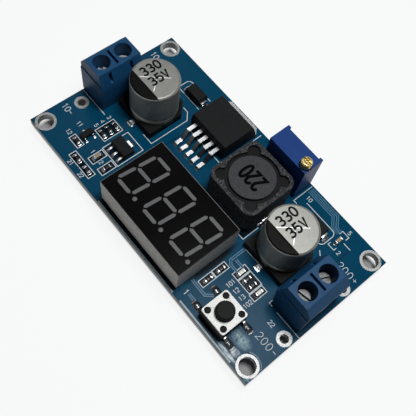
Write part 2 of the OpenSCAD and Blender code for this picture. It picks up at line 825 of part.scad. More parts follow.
module capacitor_leads() {
    reach = capacitor_base_w / 2 + capacitor_lead_reach;
    color("#c4c7c9") for (side = [0, 180]) rotate([0, 0, side])
        translate([-capacitor_lead_w / 2, capacitor_lead_start, 0])
            cube([capacitor_lead_w, reach - capacitor_lead_start, capacitor_lead_t]);
}

module input_capacitor_can() { on_board(input_capacitor) capacitor_can(); }
module input_capacitor_base() { on_board(input_capacitor) capacitor_base(); }
module input_capacitor_leads() { on_board(input_capacitor) capacitor_leads(); }
module output_capacitor_can() { on_board(output_capacitor) capacitor_can(); }
module output_capacitor_base() { on_board(output_capacitor) capacitor_base(); }
module output_capacitor_leads() { on_board(output_capacitor) capacitor_leads(); }

// Switching regulator: Y runs from the lead side to the tab
module regulator_slug() {
    half = regulator_width / 2;
    end = regulator_length + tab_reach;
    linear_extrude(tab_thickness) {
        translate([-half + slug_margin, slug_start])
            square([regulator_width - 2 * slug_margin, regulator_length - slug_start]);
        polygon([
            [-half, regulator_length], [half, regulator_length], [half, end - tab_corner],
            [half - tab_corner, end], [-half + tab_corner, end], [-half, end - tab_corner]
        ]);
    }
}

module regulator_body() {
    low = regulator_band[0];
    high = regulator_band[1];
    top = regulator_height;
    on_board(regulator_place) color("#2b2c2e") difference() {
        intersection() {
            along_x(regulator_width) polygon([
                [regulator_draft, 0], [0, low], [0, high], [regulator_draft, top],
                [regulator_length - regulator_tab_slope, top], [regulator_length, tab_thickness],
                [regulator_length, 0]
            ]);
            translate([0, regulator_length / 2, 0]) along_y(regulator_length)
                draft_outline(regulator_width / 2, 0, low, high, top, regulator_draft);
        }
        translate([0, 0, -cut]) linear_extrude(cut + tab_thickness)
            translate([-regulator_width / 2 + slug_margin, slug_start])
                square([regulator_width - 2 * slug_margin, regulator_length]);
    }
}

module regulator_tab() {
    on_board(regulator_place) color("#c9cbcc") regulator_slug();
}

module regulator_leads() {
    on_board(regulator_place) color("#d6d8d9") for (i = [-2:2])
        translate([i * regulator_pitch, 0, 0]) rotate([0, 0, -90])
            gull_wing(
                regulator_lead_w, regulator_lead_t, regulator_lead_z,
                regulator_shoulder, regulator_lead_reach, regulator_foot
            );
}

// Storage inductor: drum core in a square shield on a base plate
module bore_outline() {
    circle(r = bore_r);
    for (x = [-1, 1], y = [-1, 1])
        translate([x * lobe_place, y * lobe_place]) circle(r = lobe_r);
}

module inductor_shield() {
    on_board(inductor_place) color("#3a3b3d") translate([0, 0, shield_foot])
        linear_extrude(inductor_height - shield_foot) difference() {
            rounded_rectangle(shield_width, shield_width, shield_corner);
            bore_outline();
        }
}

module inductor_core() {
    r = core_d / 2;
    foot = shield_foot + core_play;
    top = inductor_height + core_rise;
    on_board(inductor_place) color("#48494b") rotate_extrude() polygon([
        [0, foot], [r, foot], [r, foot + core_flange], [core_stem_r, foot + core_flange],
        [core_stem_r, top - core_flange], [r, top - core_flange], [r, top], [0, top]
    ]);
}

module inductor_winding() {
    foot = shield_foot + core_flange + 2 * core_play;
    top = inductor_height + core_rise - core_flange - core_play;
    inner = core_stem_r + core_play;
    on_board(inductor_place) color("#b4693a") translate([0, 0, foot]) difference() {
        cylinder(r = core_d / 2 - 2 * core_play, h = top - foot);
        translate([0, 0, -cut]) cylinder(r = inner, h = top - foot + 2 * cut);
    }
}

module inductor_filler() {
    foot = shield_foot + core_play;
    on_board(inductor_place) color("#1d1d1f") translate([0, 0, foot])
        linear_extrude(inductor_height - filler_depth - foot) difference() {
            bore_outline();
            circle(r = core_d / 2 + segment_play);
        }
}

module inductor_base() {
    on_board(inductor_place) color("#141415") translate([0, 0, inductor_terminal_t])
        linear_extrude(inductor_base_t) rounded_rectangle(shield_width, shield_width, shield_corner);
}

module inductor_terminals() {
    half = shield_width / 2;
    height = inductor_terminal_t + inductor_base_t;
    on_board(inductor_place) color("#c4c7c9") for (turn = [0, 180]) rotate([0, 0, turn]) {
        translate([half + inductor_tab_t - inductor_terminal_l, -inductor_terminal_w / 2, 0])
            cube([inductor_terminal_l, inductor_terminal_w, inductor_terminal_t]);
        translate([half, -inductor_tab_w / 2, 0]) cube([inductor_tab_t, inductor_tab_w, height]);
    }
}

// Diodes: the leads wrap from the ends to the underside
module diode_body() {
    foot = diode_lead_t + diode_clearance;
    middle = diode_height / 2;
    band = diode_lead_t;
    color("#242425") package(
        diode_length, diode_width, foot, middle - band, middle + band, diode_height, diode_draft
    );
}

module diode_leads() {
    end = diode_length / 2;
    out = end + diode_lead_out;
    middle = diode_height / 2;
    t = diode_lead_t;
    color("#c4c7c9") for (turn = [0, 180]) rotate([0, 0, turn]) along_y(diode_lead_w) polygon([
        [end, middle + t / 2], [out, middle + t / 2], [out, 0], [end - diode_lead_under, 0],
        [end - diode_lead_under, t], [out - t, t], [out - t, middle - t / 2], [end, middle - t / 2]
    ]);
}

module input_diode_body() { on_board(input_diode) diode_body(); }
module input_diode_leads() { on_board(input_diode) diode_leads(); }
module output_diode_body() { on_board(output_diode) diode_body(); }
module output_diode_leads() { on_board(output_diode) diode_leads(); }

// Multi-turn trimmer
module trimmer_body() {
    block_w = trimmer_width - trimmer_rib;
    half_l = trimmer_length / 2;
    half_w = trimmer_width / 2;
    shaft_r = trimmer_screw_d / 2 + screw_clearance;
    on_board(trimmer_place) color("#2a4a9c") difference() {
        union() {
            translate([-half_l, -half_w, trimmer_foot])
                cube([trimmer_length, block_w, trimmer_height - trimmer_foot]);
            for (x = [-half_l, half_l - trimmer_rib_w])
                translate([x, 0, trimmer_foot])
                    cube([trimmer_rib_w, half_w, trimmer_height - trimmer_foot]);
            for (x = [-half_l, half_l - trimmer_foot_w], y = [-half_w, half_w - trimmer_foot_w])
                translate([x, y, 0]) cube([
                    trimmer_foot_w, trimmer_foot_w - (y > 0 ? trimmer_rib : 0), 2 * trimmer_foot
                ]);
        }
        translate([trimmer_screw_x, trimmer_screw_y, trimmer_height - trimmer_bore_depth])
            cylinder(r = shaft_r, h = trimmer_bore_depth + cut);
        translate([trimmer_screw_x, trimmer_screw_y, trimmer_height - trimmer_rim_depth])
            cylinder(r = shaft_r + trimmer_rim, h = trimmer_rim_depth + cut);
    }
}

module trimmer_screw() {
    r = trimmer_screw_d / 2;
    foot = trimmer_height - trimmer_bore_depth + screw_clearance;
    top = trimmer_height + trimmer_screw_h;
    edge = 0.2;
    on_board(trimmer_place) color("#d8b455") translate([trimmer_screw_x, trimmer_screw_y, 0]) difference() {
        rotate_extrude() polygon([[0, foot], [r, foot], [r, top - edge], [r - edge, top], [0, top]]);
        translate([0, 0, top - slot_depth]) block(trimmer_screw_d + cut, slot_w, slot_depth + cut);
    }
}

module trimmer_pins() {
    color("#c4c7c9") for (point = trimmer_pin_points) on_board(point)
        translate([0, 0, -pin_depth]) cylinder(d = trimmer_pin_d, h = pin_depth + trimmer_foot);
}

// Display: seven slanted segments and a decimal point for each digit
function slanted(points, place) = [
    for (p = points) let (x = p.x + place.x, y = p.y + place.y) [x + digit_slant * y, y]
];

// Six-sided bar of a segment, its points towards the neighbouring segments
function bar(length, upright) = let (half = length / 2 - segment_gap, w = segment_w / 2)
    [
        for (p = [[-half, 0], [-half + w, w], [half - w, w], [half, 0], [half - w, -w], [-half + w, -w]])
            upright ? [p.y, p.x] : p
    ];

// Outlines of one digit's segments; grow widens them for the cells that hold them
module digit(grow) {
    for (row = [-1:1])
        polygon(slanted(bar(digit_width + grow, false), [0, row * digit_height / 2]));
    for (x = [-1, 1], y = [-1, 1])
        polygon(slanted(bar(digit_height / 2 + grow, true), [x * digit_width / 2, y * digit_height / 4]));
    translate([point_place.x + digit_slant * point_place.y, point_place.y])
        circle(d = point_d + grow);
}

module all_digits(grow) {
    for (i = [-1:1]) translate([i * digit_pitch, 0]) digit(grow);
}

module display_housing() {
    half_l = display_length / 2 - display_foot_inset;
    half_w = display_width / 2 - display_foot_inset;
    on_board(display_place) color("#9fa2a4") difference() {
        union() {
            translate([0, 0, display_foot])
                block(display_length, display_width, display_body_top - display_foot);
            for (x = [-half_l, half_l], y = [-half_w, half_w])
                translate([x, y, 0]) cylinder(d = display_foot_d, h = display_foot + cut);
        }
        translate([0, 0, display_foot - cut]) difference() {
            block(
                display_length - 2 * display_wall, display_width - 2 * display_wall,
                display_cell_z - display_foot + cut
            );
            for (x = [-half_l, half_l], y = [-half_w, half_w])
                translate([x, y, 0]) cylinder(d = display_foot_d, h = cut + display_recess);
        }
        translate([0, 0, display_cell_z - cut]) linear_extrude(display_front + 2 * cut)
            all_digits(2 * segment_play);
    }
}

module display_face() {
    on_board(display_place) color("#0f0f10") translate([0, 0, display_body_top])
        linear_extrude(face_thickness) difference() {
            square([display_length - 2 * face_margin, display_width - 2 * face_margin], center = true);
            all_digits(2 * segment_play);
        }
}

module display_segments() {
    on_board(display_place) color("#8d8e90") translate([0, 0, display_cell_z])
        linear_extrude(display_height - display_cell_z) all_digits(0);
}

module display_backing() {
    inset = 2 * (display_wall + backing_play);
    foot = display_foot + display_recess + backing_play;
    on_board(display_place) color("#d9d5c4") translate([0, 0, foot])
        block(display_length - inset, display_width - inset, display_cell_z - foot);
}

module display_pins() {
    foot = display_foot + display_recess + backing_play;
    color("#c4c7c9") for (point = display_pin_points) on_board(point)
        translate([0, 0, -pin_depth]) cylinder(d = display_pin_d, h = pin_depth + foot);
}

// Push button switch
module at_pegs() {
    for (x = [-1, 1], y = [-1, 1])
        translate([x * peg_spacing / 2, y * peg_spacing / 2, 0]) children();
}

module switch_base() {
    on_board(switch_place) color("#151516") difference() {
        union() {
            block(switch_width, switch_width, switch_base_top);
            at_pegs() cylinder(d = peg_d, h = switch_plate_z + peg_head);
        }
        translate([0, 0, switch_floor]) cylinder(r = switch_cavity_r, h = switch_base_top);
    }
}

module switch_cover() {
    on_board(switch_place) color("#dcdddd") translate([0, 0, switch_base_top])
        linear_extrude(switch_plate_t) difference() {
            rounded_rectangle(switch_width, switch_width, switch_corner);
            circle(r = button_d / 2 + button_clearance);
            at_pegs() circle(d = peg_d + 2 * peg_play);
        }
}

module switch_button() {
    r = button_d / 2;
    flange_top = switch_base_top - button_play;
    flange_foot = flange_top - button_flange_h;
    nub = switch_floor + dome_rise + dome_t + button_play;
    top = switch_plate_z + button_rise;
    on_board(switch_place) color("#1b1b1c") rotate_extrude() polygon([
        [0, nub], [button_nub_r, nub], [button_nub_r, flange_foot], [button_flange_r, flange_foot],
        [button_flange_r, flange_top], [r, flange_top], [r, top - button_edge],
        [r - button_edge, top], [0, top]
    ]);
}

// Snap dome: a shallow sprung disc under the button
module switch_dome() {
    steps = 8;
    arch = [for (i = [0 : steps]) let (x = i / steps) [x * dome_r, dome_rise * (1 - x * x)]];
    on_board(switch_place) color("#b8babb") translate([0, 0, switch_floor]) rotate_extrude() polygon(concat(
        [for (p = arch) [p.x, p.y + dome_t]],
        [for (i = [steps : -1 : 0]) arch[i]]
    ));
}

module switch_leads() {
    on_board(switch_place) color("#c4c7c9")
        for (turn = [0, 180], y = [-1, 1]) rotate([0, 0, turn])
            translate([switch_width / 2, y * switch_lead_pitch / 2, 0])
                gull_wing(
                    switch_lead_w, switch_lead_t, switch_lead_z,
                    switch_lead_t, switch_lead_reach, switch_lead_foot
                );
}

// Small moulded packages
module supply_body() {
    on_board(supply_place) color("#2a2a2c") package(
        supply_length, supply_width, 0, supply_lead_t, 2 * supply_lead_t, supply_height, package_draft
    );
}

module supply_leads() {
    edge = supply_width / 2;
    on_board(supply_place) color("#cfd1d2") {
        for (i = [-1:1]) translate([i * supply_pitch - supply_lead_w / 2, -edge - supply_lead_reach, 0])
            cube([supply_lead_w, supply_lead_reach, supply_lead_t]);
        translate([-supply_tab_w / 2, edge, 0]) cube([supply_tab_w, supply_tab_reach, supply_lead_t]);
    }
}

module transistor_body() {
    band = [transistor_lead_z, transistor_lead_z + 2 * transistor_lead_t];
    on_board(transistor_place) color("#241c20") package(
        transistor_width, transistor_length, package_lift, band[0], band[1], transistor_height, package_draft
    );
}

module transistor_leads() {
    on_board(transistor_place) color("#cfd1d2")
        for (lead = [[0, -transistor_pitch / 2], [0, transistor_pitch / 2], [180, 0]])
            rotate([0, 0, lead[0]]) translate([transistor_width / 2, lead[1], 0])
                gull_wing(
                    transistor_lead_w, transistor_lead_t, transistor_lead_z + transistor_lead_t / 2,
                    transistor_lead_t, transistor_lead_reach, transistor_lead_reach / 2
                );
}

module controller_body() {
    middle = controller_height / 2;
    on_board(controller_place) color("#1f1f21") package(
        controller_length, controller_width, package_lift, middle - controller_lead_t,
        middle + controller_lead_t, controller_height, package_draft
    );
}

module controller_leads() {
    middle = controller_height / 2 - controller_lead_t / 2;
    count = controller_leads_per_side;
    on_board(controller_place) color("#cfd1d2")
        for (turn = [90, 270], i = [0 : count - 1]) rotate([0, 0, turn])
            translate([controller_width / 2, (i - (count - 1) / 2) * controller_pitch, 0])
                gull_wing(
                    controller_lead_w, controller_lead_t, middle,
                    controller_lead_t, controller_lead_reach, controller_lead_reach / 2
                );
}

// Chip parts: a body between two metal ends
module chip_bodies(places, height) {
    for (p = places) on_board(p) rotate([0, 0, p[2]]) translate([0, 0, chip_body_inset])
        block(chip_length - 2 * chip_end, chip_width - 2 * chip_body_inset, height - 2 * chip_body_inset);
}

module chip_ends(places, height) {
    for (p = places) on_board(p) for (turn = [0, 180]) rotate([0, 0, p[2] + turn])
        translate([(chip_length - chip_end) / 2, 0, 0]) block(chip_end, chip_width, height);
}

module resistor_bodies() { color("#1a1a1c") chip_bodies(resistor_places, resistor_height); }
module resistor_ends() { color("#cfd1d2") chip_ends(resistor_places, resistor_height); }
module ceramic_bodies() { color("#a58b6c") chip_bodies(ceramic_places, ceramic_height); }
module ceramic_ends() { color("#cfd1d2") chip_ends(ceramic_places, ceramic_height); }
module indicator_bodies() { color("#eef0ea") chip_bodies(indicator_places, indicator_height); }
module indicator_ends() { color("#d9d6c8") chip_ends(indicator_places, indicator_height); }

circuit_board();
hole_plating();
through_hole_solder();
input_terminal_housing();
input_terminal_contacts();
input_positive_screw();
input_negative_screw();
input_positive_guard();
input_negative_guard();
output_terminal_housing();
output_terminal_contacts();
output_positive_screw();
output_negative_screw();
output_positive_guard();
output_negative_guard();
input_capacitor_can();
input_capacitor_base();
input_capacitor_leads();
output_capacitor_can();
output_capacitor_base();
output_capacitor_leads();
regulator_body();
regulator_tab();
regulator_leads();
inductor_shield();
inductor_core();
inductor_winding();
inductor_filler();
inductor_base();
inductor_terminals();
input_diode_body();
input_diode_leads();
output_diode_body();
output_diode_leads();
trimmer_body();
trimmer_screw();
trimmer_pins();
display_housing();
display_face();
display_segments();
display_backing();
display_pins();
switch_base();
switch_cover();
switch_button();
switch_dome();
switch_leads();
supply_body();
supply_leads();
transistor_body();
transistor_leads();
controller_body();
controller_leads();
resistor_bodies();
resistor_ends();
ceramic_bodies();
ceramic_ends();
indicator_bodies();
indicator_ends();
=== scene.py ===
"""Looks of a boost converter module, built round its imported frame.

The frame brings every solid of the module. This script dresses those solids with procedural
finishes, and adds what is too fine for them: copper under the mask, white board print, solder on
every joint, the print on the cans and the coil, and a plain studio.
"""
import json
import logging
import math
from dataclasses import dataclass
from enum import Enum
from typing import Callable, Iterable, Mapping, Optional, Sequence, Union

import bmesh
import bpy
from mathutils import Matrix, Vector


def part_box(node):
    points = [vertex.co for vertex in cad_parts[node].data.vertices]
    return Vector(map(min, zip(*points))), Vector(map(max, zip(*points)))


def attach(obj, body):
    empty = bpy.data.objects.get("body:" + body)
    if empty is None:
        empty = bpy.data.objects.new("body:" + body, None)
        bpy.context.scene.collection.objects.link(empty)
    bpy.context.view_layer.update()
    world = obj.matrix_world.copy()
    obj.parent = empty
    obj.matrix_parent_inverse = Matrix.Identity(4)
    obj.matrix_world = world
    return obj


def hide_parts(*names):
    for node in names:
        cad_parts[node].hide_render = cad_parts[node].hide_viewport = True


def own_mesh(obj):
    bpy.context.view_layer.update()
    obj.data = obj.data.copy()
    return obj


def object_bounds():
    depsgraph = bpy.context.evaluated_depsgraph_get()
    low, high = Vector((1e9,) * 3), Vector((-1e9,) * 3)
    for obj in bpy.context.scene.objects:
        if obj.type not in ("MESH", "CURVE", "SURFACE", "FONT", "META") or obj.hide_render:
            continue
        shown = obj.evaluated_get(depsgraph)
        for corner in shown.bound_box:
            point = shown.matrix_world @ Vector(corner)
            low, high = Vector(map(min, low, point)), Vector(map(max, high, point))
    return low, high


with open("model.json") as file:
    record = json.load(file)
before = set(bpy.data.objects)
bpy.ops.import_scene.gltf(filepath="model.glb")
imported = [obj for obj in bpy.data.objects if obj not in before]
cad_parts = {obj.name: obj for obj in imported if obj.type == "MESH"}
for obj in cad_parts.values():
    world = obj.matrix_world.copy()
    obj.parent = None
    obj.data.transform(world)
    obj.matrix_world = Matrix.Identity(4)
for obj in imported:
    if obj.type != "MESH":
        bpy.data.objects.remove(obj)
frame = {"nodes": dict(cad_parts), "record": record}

CAD_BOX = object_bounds()
LOG = logging.getLogger("module")
MM = 0.001
ROOT = "module"
SIDES = ("input", "output")
PHOTO_PIXELS = 416
SENSOR_WIDTH = 36.0

Point = tuple[float, float]
Place = tuple[float, float, float]
Rect = tuple[float, float, float, float]
Path = Sequence[Point]
Colour = tuple[float, float, float]
Box = tuple[Vector, Vector]
Socket = bpy.types.NodeSocket
Sockets = Mapping[Union[str, int], object]


class Slot(str, Enum):
    """Material slots of the record that the pieces share."""

    BOARD = "board"
    TINNED = "tinned"
    SOLDER = "solder"
    TERMINAL = "terminal_plastic"
    SCREW = "screw_steel"
    BRONZE = "bronze"
    CAN = "can_aluminium"
    BLACK = "black_moulding"
    PACKAGE = "package_epoxy"
    FERRITE = "ferrite"
    COPPER = "copper"
    SEALING = "sealing_compound"
    TRIMMER = "trimmer_plastic"
    BRASS = "brass"
    DISPLAY = "display_plastic"
    DISPLAY_FACE = "display_black"
    SEGMENT = "segment_resin"
    BACKING = "backing_resin"
    PLATED = "plated_steel"
    RESISTOR = "resistor_glaze"
    CERAMIC = "ceramic"
    LAMP = "lamp_resin"


class Heading(Enum):
    """Ways in which a row of print runs on the board, as the direction of reading and of up."""

    ALONG_X = ((1.0, 0.0), (0.0, 1.0))
    AGAINST_X = ((-1.0, 0.0), (0.0, -1.0))
    ALONG_Y = ((0.0, 1.0), (-1.0, 0.0))


def tone(code: str) -> Colour:
    """Turns a colour as seen on a screen into scene light.

    Args:
        code: Six hexadecimal digits, two for each of red, green and blue.

    Returns:
        The three parts as linear light.
    """
    parts = [int(code[i:i + 2], 16) / 255.0 for i in (0, 2, 4)]
    linear = [p / 12.92 if p <= 0.04045 else ((p + 0.055) / 1.055) ** 2.4 for p in parts]
    return (linear[0], linear[1], linear[2])


def scaled(colour: Colour, factor: float) -> Colour:
    """Gives the colour brightened or darkened by a factor."""
    red, green, blue = (min(1.0, part * factor) for part in colour)
    return (red, green, blue)


@dataclass(frozen=True)
class Clouds:
    """Character of a cloudy pattern.

    Attributes:
        detail: Number of finer layers.
        rough: Strength of the finer layers.
        span: Pattern values that count as none and as full.
    """

    detail: float = 2.0
    rough: float = 0.5
    span: Point = (0.3, 0.7)


class Graph:
    """Node tree of a material or of the world, with short calls for the nodes that are shared."""

    MIX_FIRST, MIX_SECOND, MIX_RESULT = 6, 7, 2

    def __init__(self, owner: Union[bpy.types.Material, bpy.types.World]) -> None:
        """Opens the node tree.

        Args:
            owner: Material or world that the tree belongs to.
        """
        owner.use_nodes = True
        self.tree = owner.node_tree
        self.shader = self.tree.nodes.get("Principled BSDF")
        self.coords = self.node("TexCoord").outputs

    def feed(self, node: bpy.types.Node, sockets: Sockets) -> None:
        """Sets or links the input sockets of a node.

        Args:
            node: The node.
            sockets: Value or source of each socket, by its name or number.
        """
        for key, value in sockets.items():
            if isinstance(value, Socket):
                self.tree.links.new(value, node.inputs[key])
            else:
                node.inputs[key].default_value = value

    def node(
        self, kind: str, sockets: Optional[Sockets] = None, **values: object,
    ) -> bpy.types.Node:
        """Adds a node.

        Args:
            kind: Blender's name of the node type, without the start that all of them share.
            sockets: Value or source of each input socket.
            **values: Properties of the node.

        Returns:
            The new node.
        """
        made = self.tree.nodes.new(f"ShaderNode{kind}")
        for key, value in values.items():
            setattr(made, key, value)
        self.feed(made, sockets or {})
        return made

    def noise(
        self, size_mm: float, clouds: Clouds, squeeze: Optional[Sequence[float]] = None,
    ) -> Socket:
        """Adds a cloudy pattern.

        Args:
            size_mm: Width of a cloud in millimetres.
            clouds: Character of the clouds.
            squeeze: Factors that squeeze the pattern on each axis.

        Returns:
            The pattern, from 0 to 1.
        """
        place = self.coords["Object"]
        if squeeze:
            place = self.node("Mapping", {"Vector": place, "Scale": squeeze}).outputs["Vector"]
        return self.node("TexNoise", {
            "Vector": place, "Scale": 1.0 / (size_mm * MM), "Detail": clouds.detail,
            "Roughness": clouds.rough,
        }).outputs["Fac"]

    def cells(self, size_mm: float) -> Socket:
        """Adds a pattern of grains of the given width, each of one value from 0 to 1."""
        grains = self.node(
            "TexVoronoi", {"Vector": self.coords["Object"], "Scale": 1.0 / (size_mm * MM)},
        )
        return self.node("SeparateColor", {"Color": grains.outputs["Color"]}).outputs["Red"]

    def remap(self, value: Socket, span: Point, onto: Point = (0.0, 1.0)) -> Socket:
        """Maps a span of a pattern onto another span, and holds it there.

        Args:
            value: The pattern.
            span: Pattern values at the start and the end of the span.
            onto: Results at the start and the end.

        Returns:
            The mapped pattern.
        """
        return self.node("MapRange", {
            "Value": value, "From Min": span[0], "From Max": span[1],
            "To Min": onto[0], "To Max": onto[1],
        }).outputs["Result"]

    def mix(
        self, factor: Socket, first: Union[Colour, Socket], second: Union[Colour, Socket],
    ) -> Socket:
        """Mixes two colours by a pattern.

        Args:
            factor: Pattern that picks the second colour where it is 1.
            first: A colour, or a socket that gives one.
            second: A colour, or a socket that gives one.

        Returns:
            The mixed colour.
        """
        start, end = (c if isinstance(c, Socket) else (*c, 1.0) for c in (first, second))
        sockets = {"Factor": factor, self.MIX_FIRST: start, self.MIX_SECOND: end}
        return self.node("Mix", sockets, data_type="RGBA").outputs[self.MIX_RESULT]

    def relief(self, height: Socket, depth_mm: float, strength: float) -> None:
        """Adds fine relief of the given depth and strength to the shader's surface."""
        sockets = {"Height": height, "Distance": depth_mm * MM, "Strength": strength}
        self.feed(self.shader, {"Normal": self.node("Bump", sockets).outputs["Normal"]})

    def math(self, operation: str, *values: Socket) -> Socket:
        """Reckons with one or two patterns."""
        return self.node("Math", dict(enumerate(values)), operation=operation).outputs["Value"]

    def facing_up(self) -> Socket:
        """Gives the upward part of the surface's direction, from -1 to 1."""
        normal = self.node("NewGeometry").outputs["True Normal"]
        return self.node("SeparateXYZ", {"Vector": normal}).outputs["Z"]

    def seen(self) -> Socket:
        """Tells what is seen from what only lights the module.

        Returns:
            1 to the camera and in reflections and clear pieces, and 0 otherwise.
        """
        path = self.node("LightPath").outputs
        mirrored = self.math("MAXIMUM", path["Is Camera Ray"], path["Is Glossy Ray"])
        return self.math("MAXIMUM", mirrored, path["Is Transmission Ray"])


# Materials made so far, by name
MADE: dict[str, bpy.types.Material] = {}


@dataclass(frozen=True)
class Finish:
    """Moulded plastic: clouded colour, fine grain and uneven gloss. The others build on it.

    Attributes:
        name: Name of the material.
        colour: Main colour, in linear light.
        rough: Lowest and highest roughness.
        shade: Factor of the darker clouds.
        cloud_mm: Width of a cloud.
        grain_mm: Width of the surface grain.
        grain_depth_mm: Depth of the surface grain.
        gloss: Level of the surface's reflection.
        top: Colour of the faces that point up, where it is another one; on the tin the darker steep
            faces are painted shade.
        brushing: Squeeze of the grain on each axis, where it is brushed.
    """

    CLOUDS = Clouds(4.0, 0.6)
    GRAIN = Clouds(3.0, 0.6, (0.25, 0.75))
    RELIEF = 0.5

    name: str
    colour: Colour
    rough: Point = (0.42, 0.58)
    shade: float = 0.82
    cloud_mm: float = 1.6
    grain_mm: float = 0.09
    grain_depth_mm: float = 0.006
    gloss: float = 0.5
    top: Optional[Colour] = None
    brushing: Optional[Place] = None

    def clouded(self, graph: Graph, colour: Colour) -> Socket:
        """Gives a colour with darker clouds."""
        cloud = graph.remap(graph.noise(self.cloud_mm, self.CLOUDS), self.CLOUDS.span)
        return graph.mix(cloud, scaled(colour, self.shade), colour)

    def paint(self, graph: Graph) -> Socket:
        """Gives the colour of the surface."""
        return self.clouded(graph, self.colour)

    def polish(self, graph: Graph) -> None:
        """Sets the gloss and the fine relief of the surface.

        Args:
            graph: Node tree to work in.
        """
        grain = graph.noise(self.grain_mm, self.GRAIN, self.brushing)
        rough = graph.remap(grain, self.GRAIN.span, self.rough)
        graph.feed(graph.shader, {"Roughness": rough, "Specular IOR Level": self.gloss})
        graph.relief(grain, self.grain_depth_mm, self.RELIEF)

    def material(self) -> bpy.types.Material:
        """Makes the material, or gives the one that was made before.

        Returns:
            The material.
        """
        if self.name not in MADE:
            MADE[self.name] = bpy.data.materials.new(self.name)
            graph = Graph(MADE[self.name])
            graph.feed(graph.shader, {"Base Color": self.paint(graph)})
            self.polish(graph)
        return MADE[self.name]


@dataclass(frozen=True)
class MetalFinish(Finish):
    """Bare or plated metal with fine brushing and dull patches.

    Attributes:
        bare: Share of bare metal, the rest being lacquer.
    """

    CLOUDS = Clouds(5.0, 0.65, (0.75, 0.35))
    GRAIN = Clouds(4.0, 0.7, (0.25, 0.75))
    RELIEF = 0.4
    TOP_SPAN = (0.8, 0.96)

    bare: float = 1.0

    def paint(self, graph: Graph) -> Socket:
        """Makes the surface metal, with dull patches and the colour of its upper faces, against
        which darker steep faces are painted shade.

        Args:
            graph: Node tree to work in.

        Returns:
            The colour.
        """
        graph.feed(graph.shader, {"Metallic": self.bare})
        colour = self.clouded(graph, self.colour)
        # Painted shade: steep faces keep the dark main colour, upper faces take the pale top colour
        if self.top:
            colour = graph.mix(graph.remap(graph.facing_up(), self.TOP_SPAN), colour, self.top)
        return colour


@dataclass(frozen=True)
class MineralFinish(Finish):
    """Sintered or sprayed surface with pale and dark grains.

    Attributes:
        pale: Colour of the pale grains.
        share: Share of the surface that the pale grains cover.
        pits: Strength of the dark pits between the grains.
    """

    GRAIN_FADE = 0.35
    PITS = Clouds(4.0, 0.75, (0.5, 0.64))
    PIT_WIDTH = 3.0
    PIT_SHADE = 0.25
    TOP_SPAN = (0.94, 0.99)

    pale: Colour = (0.2, 0.2, 0.2)
    share: float = 0.3
    pits: float = 0.0

    def paint(self, graph: Graph) -> Socket:
        """Scatters pale grains and dark pits over the main colour.

        Args:
            graph: Node tree to work in.

        Returns:
            The colour.
        """
        edge = 1.0 - self.share
        grains = graph.remap(graph.cells(self.grain_mm), (edge, min(1.0, edge + self.GRAIN_FADE)))
        colour = graph.mix(grains, self.clouded(graph, self.colour), self.pale)
        if self.pits:
            worn = graph.noise(self.PIT_WIDTH * self.grain_mm, self.PITS)
            worn = graph.remap(worn, self.PITS.span, (0.0, self.pits))
            colour = graph.mix(worn, colour, scaled(self.colour, self.PIT_SHADE))
        if self.top:
            upper = graph.remap(graph.facing_up(), self.TOP_SPAN)
            colour = graph.mix(upper, colour, self.clouded(graph, self.top))
        return colour


@dataclass(frozen=True)
class MaskFinish(Finish):
    """Solder mask over glass cloth, with bare laminate on the cut edges.

    Attributes:
        laminate: Colour of the cut edges.
        weave_mm: Pitch of the glass cloth.
    """

    CLOUDS = Clouds(5.0, 0.6, (0.3, 0.72))
    WAVE_SCALE, THREAD_WAVER, THREAD_SHARE, THREAD_GLOW = 0.314, 1.2, 0.16, 1.35
    LAYERS = Clouds(3.0, 0.6)
    LAYER_MM, LAYER_SQUEEZE, LAYER_SHADE = 0.5, (0.15, 0.15, 4.0), 0.6
    FACE_SPAN = (0.55, 0.8)

    laminate: Colour = (0.1, 0.09, 0.07)
    weave_mm: float = 0.5

    def paint(self, graph: Graph) -> Socket:
        """Colours the faces as mask and the cut edges as laminate.

        Args:
            graph: Node tree to work in.

        Returns:
            The colour.
        """
        mask = self.clouded(graph, self.colour)
        for axis in ("X", "Y"):
            wave = graph.node("TexWave", {
                "Vector": graph.coords["Object"], "Scale": self.WAVE_SCALE / (self.weave_mm * MM),
                "Distortion": self.THREAD_WAVER,
            }, bands_direction=axis)
            thread = graph.remap(wave.outputs["Fac"], (0.0, 1.0), (0.0, self.THREAD_SHARE))
            mask = graph.mix(thread, mask, scaled(self.colour, self.THREAD_GLOW))
        layers = graph.noise(self.LAYER_MM, self.LAYERS, self.LAYER_SQUEEZE)
        layers = graph.remap(layers, self.LAYERS.span)
        edge = graph.mix(layers, scaled(self.laminate, self.LAYER_SHADE), self.laminate)
        flat = graph.remap(graph.math("ABSOLUTE", graph.facing_up()), self.FACE_SPAN)
        return graph.mix(flat, edge, mask)


@dataclass(frozen=True)
class HazeFinish(Finish):
    """Film that is thick in the middle of its piece and fades into the board round it; it serves
    for dried flux with a painted glare and for painted shadow.

    Attributes:
        pale: Colour of the thick film.
        core: Share of the way to the middle at which the film is full.
        patches: Values of the streak pattern at which the film starts and is full.
    """

    STREAKS = Clouds(5.0, 0.75)

    colour: Colour = tone("034662")
    rough: Point = (0.25, 0.33)
    grain_mm: float = 0.25
    grain_depth_mm: float = 0.002
    gloss: float = 0.045
    pale: Colour = (0.5, 0.5, 0.5)
    core: float = 0.35
    patches: Point = (0.36, 0.62)

    def paint(self, graph: Graph) -> Socket:
        """Fades streaks of residue out towards the rim of the piece.

        Args:
            graph: Node tree to work in.

        Returns:
            The colour.
        """
        mapping = graph.node("Mapping", {
            "Vector": graph.coords["Generated"],
            "Location": (-1.0, -1.0, 0.0), "Scale": (2.0, 2.0, 0.0),
        })
        fade = graph.node(
            "TexGradient", {"Vector": mapping.outputs["Vector"]}, gradient_type="SPHERICAL",
        )
        depth = graph.remap(fade.outputs["Fac"], (0.0, self.core))
        streaks = graph.remap(graph.noise(self.cloud_mm, self.STREAKS), self.patches)
        return graph.mix(graph.math("MULTIPLY", depth, streaks), self.colour, self.pale)


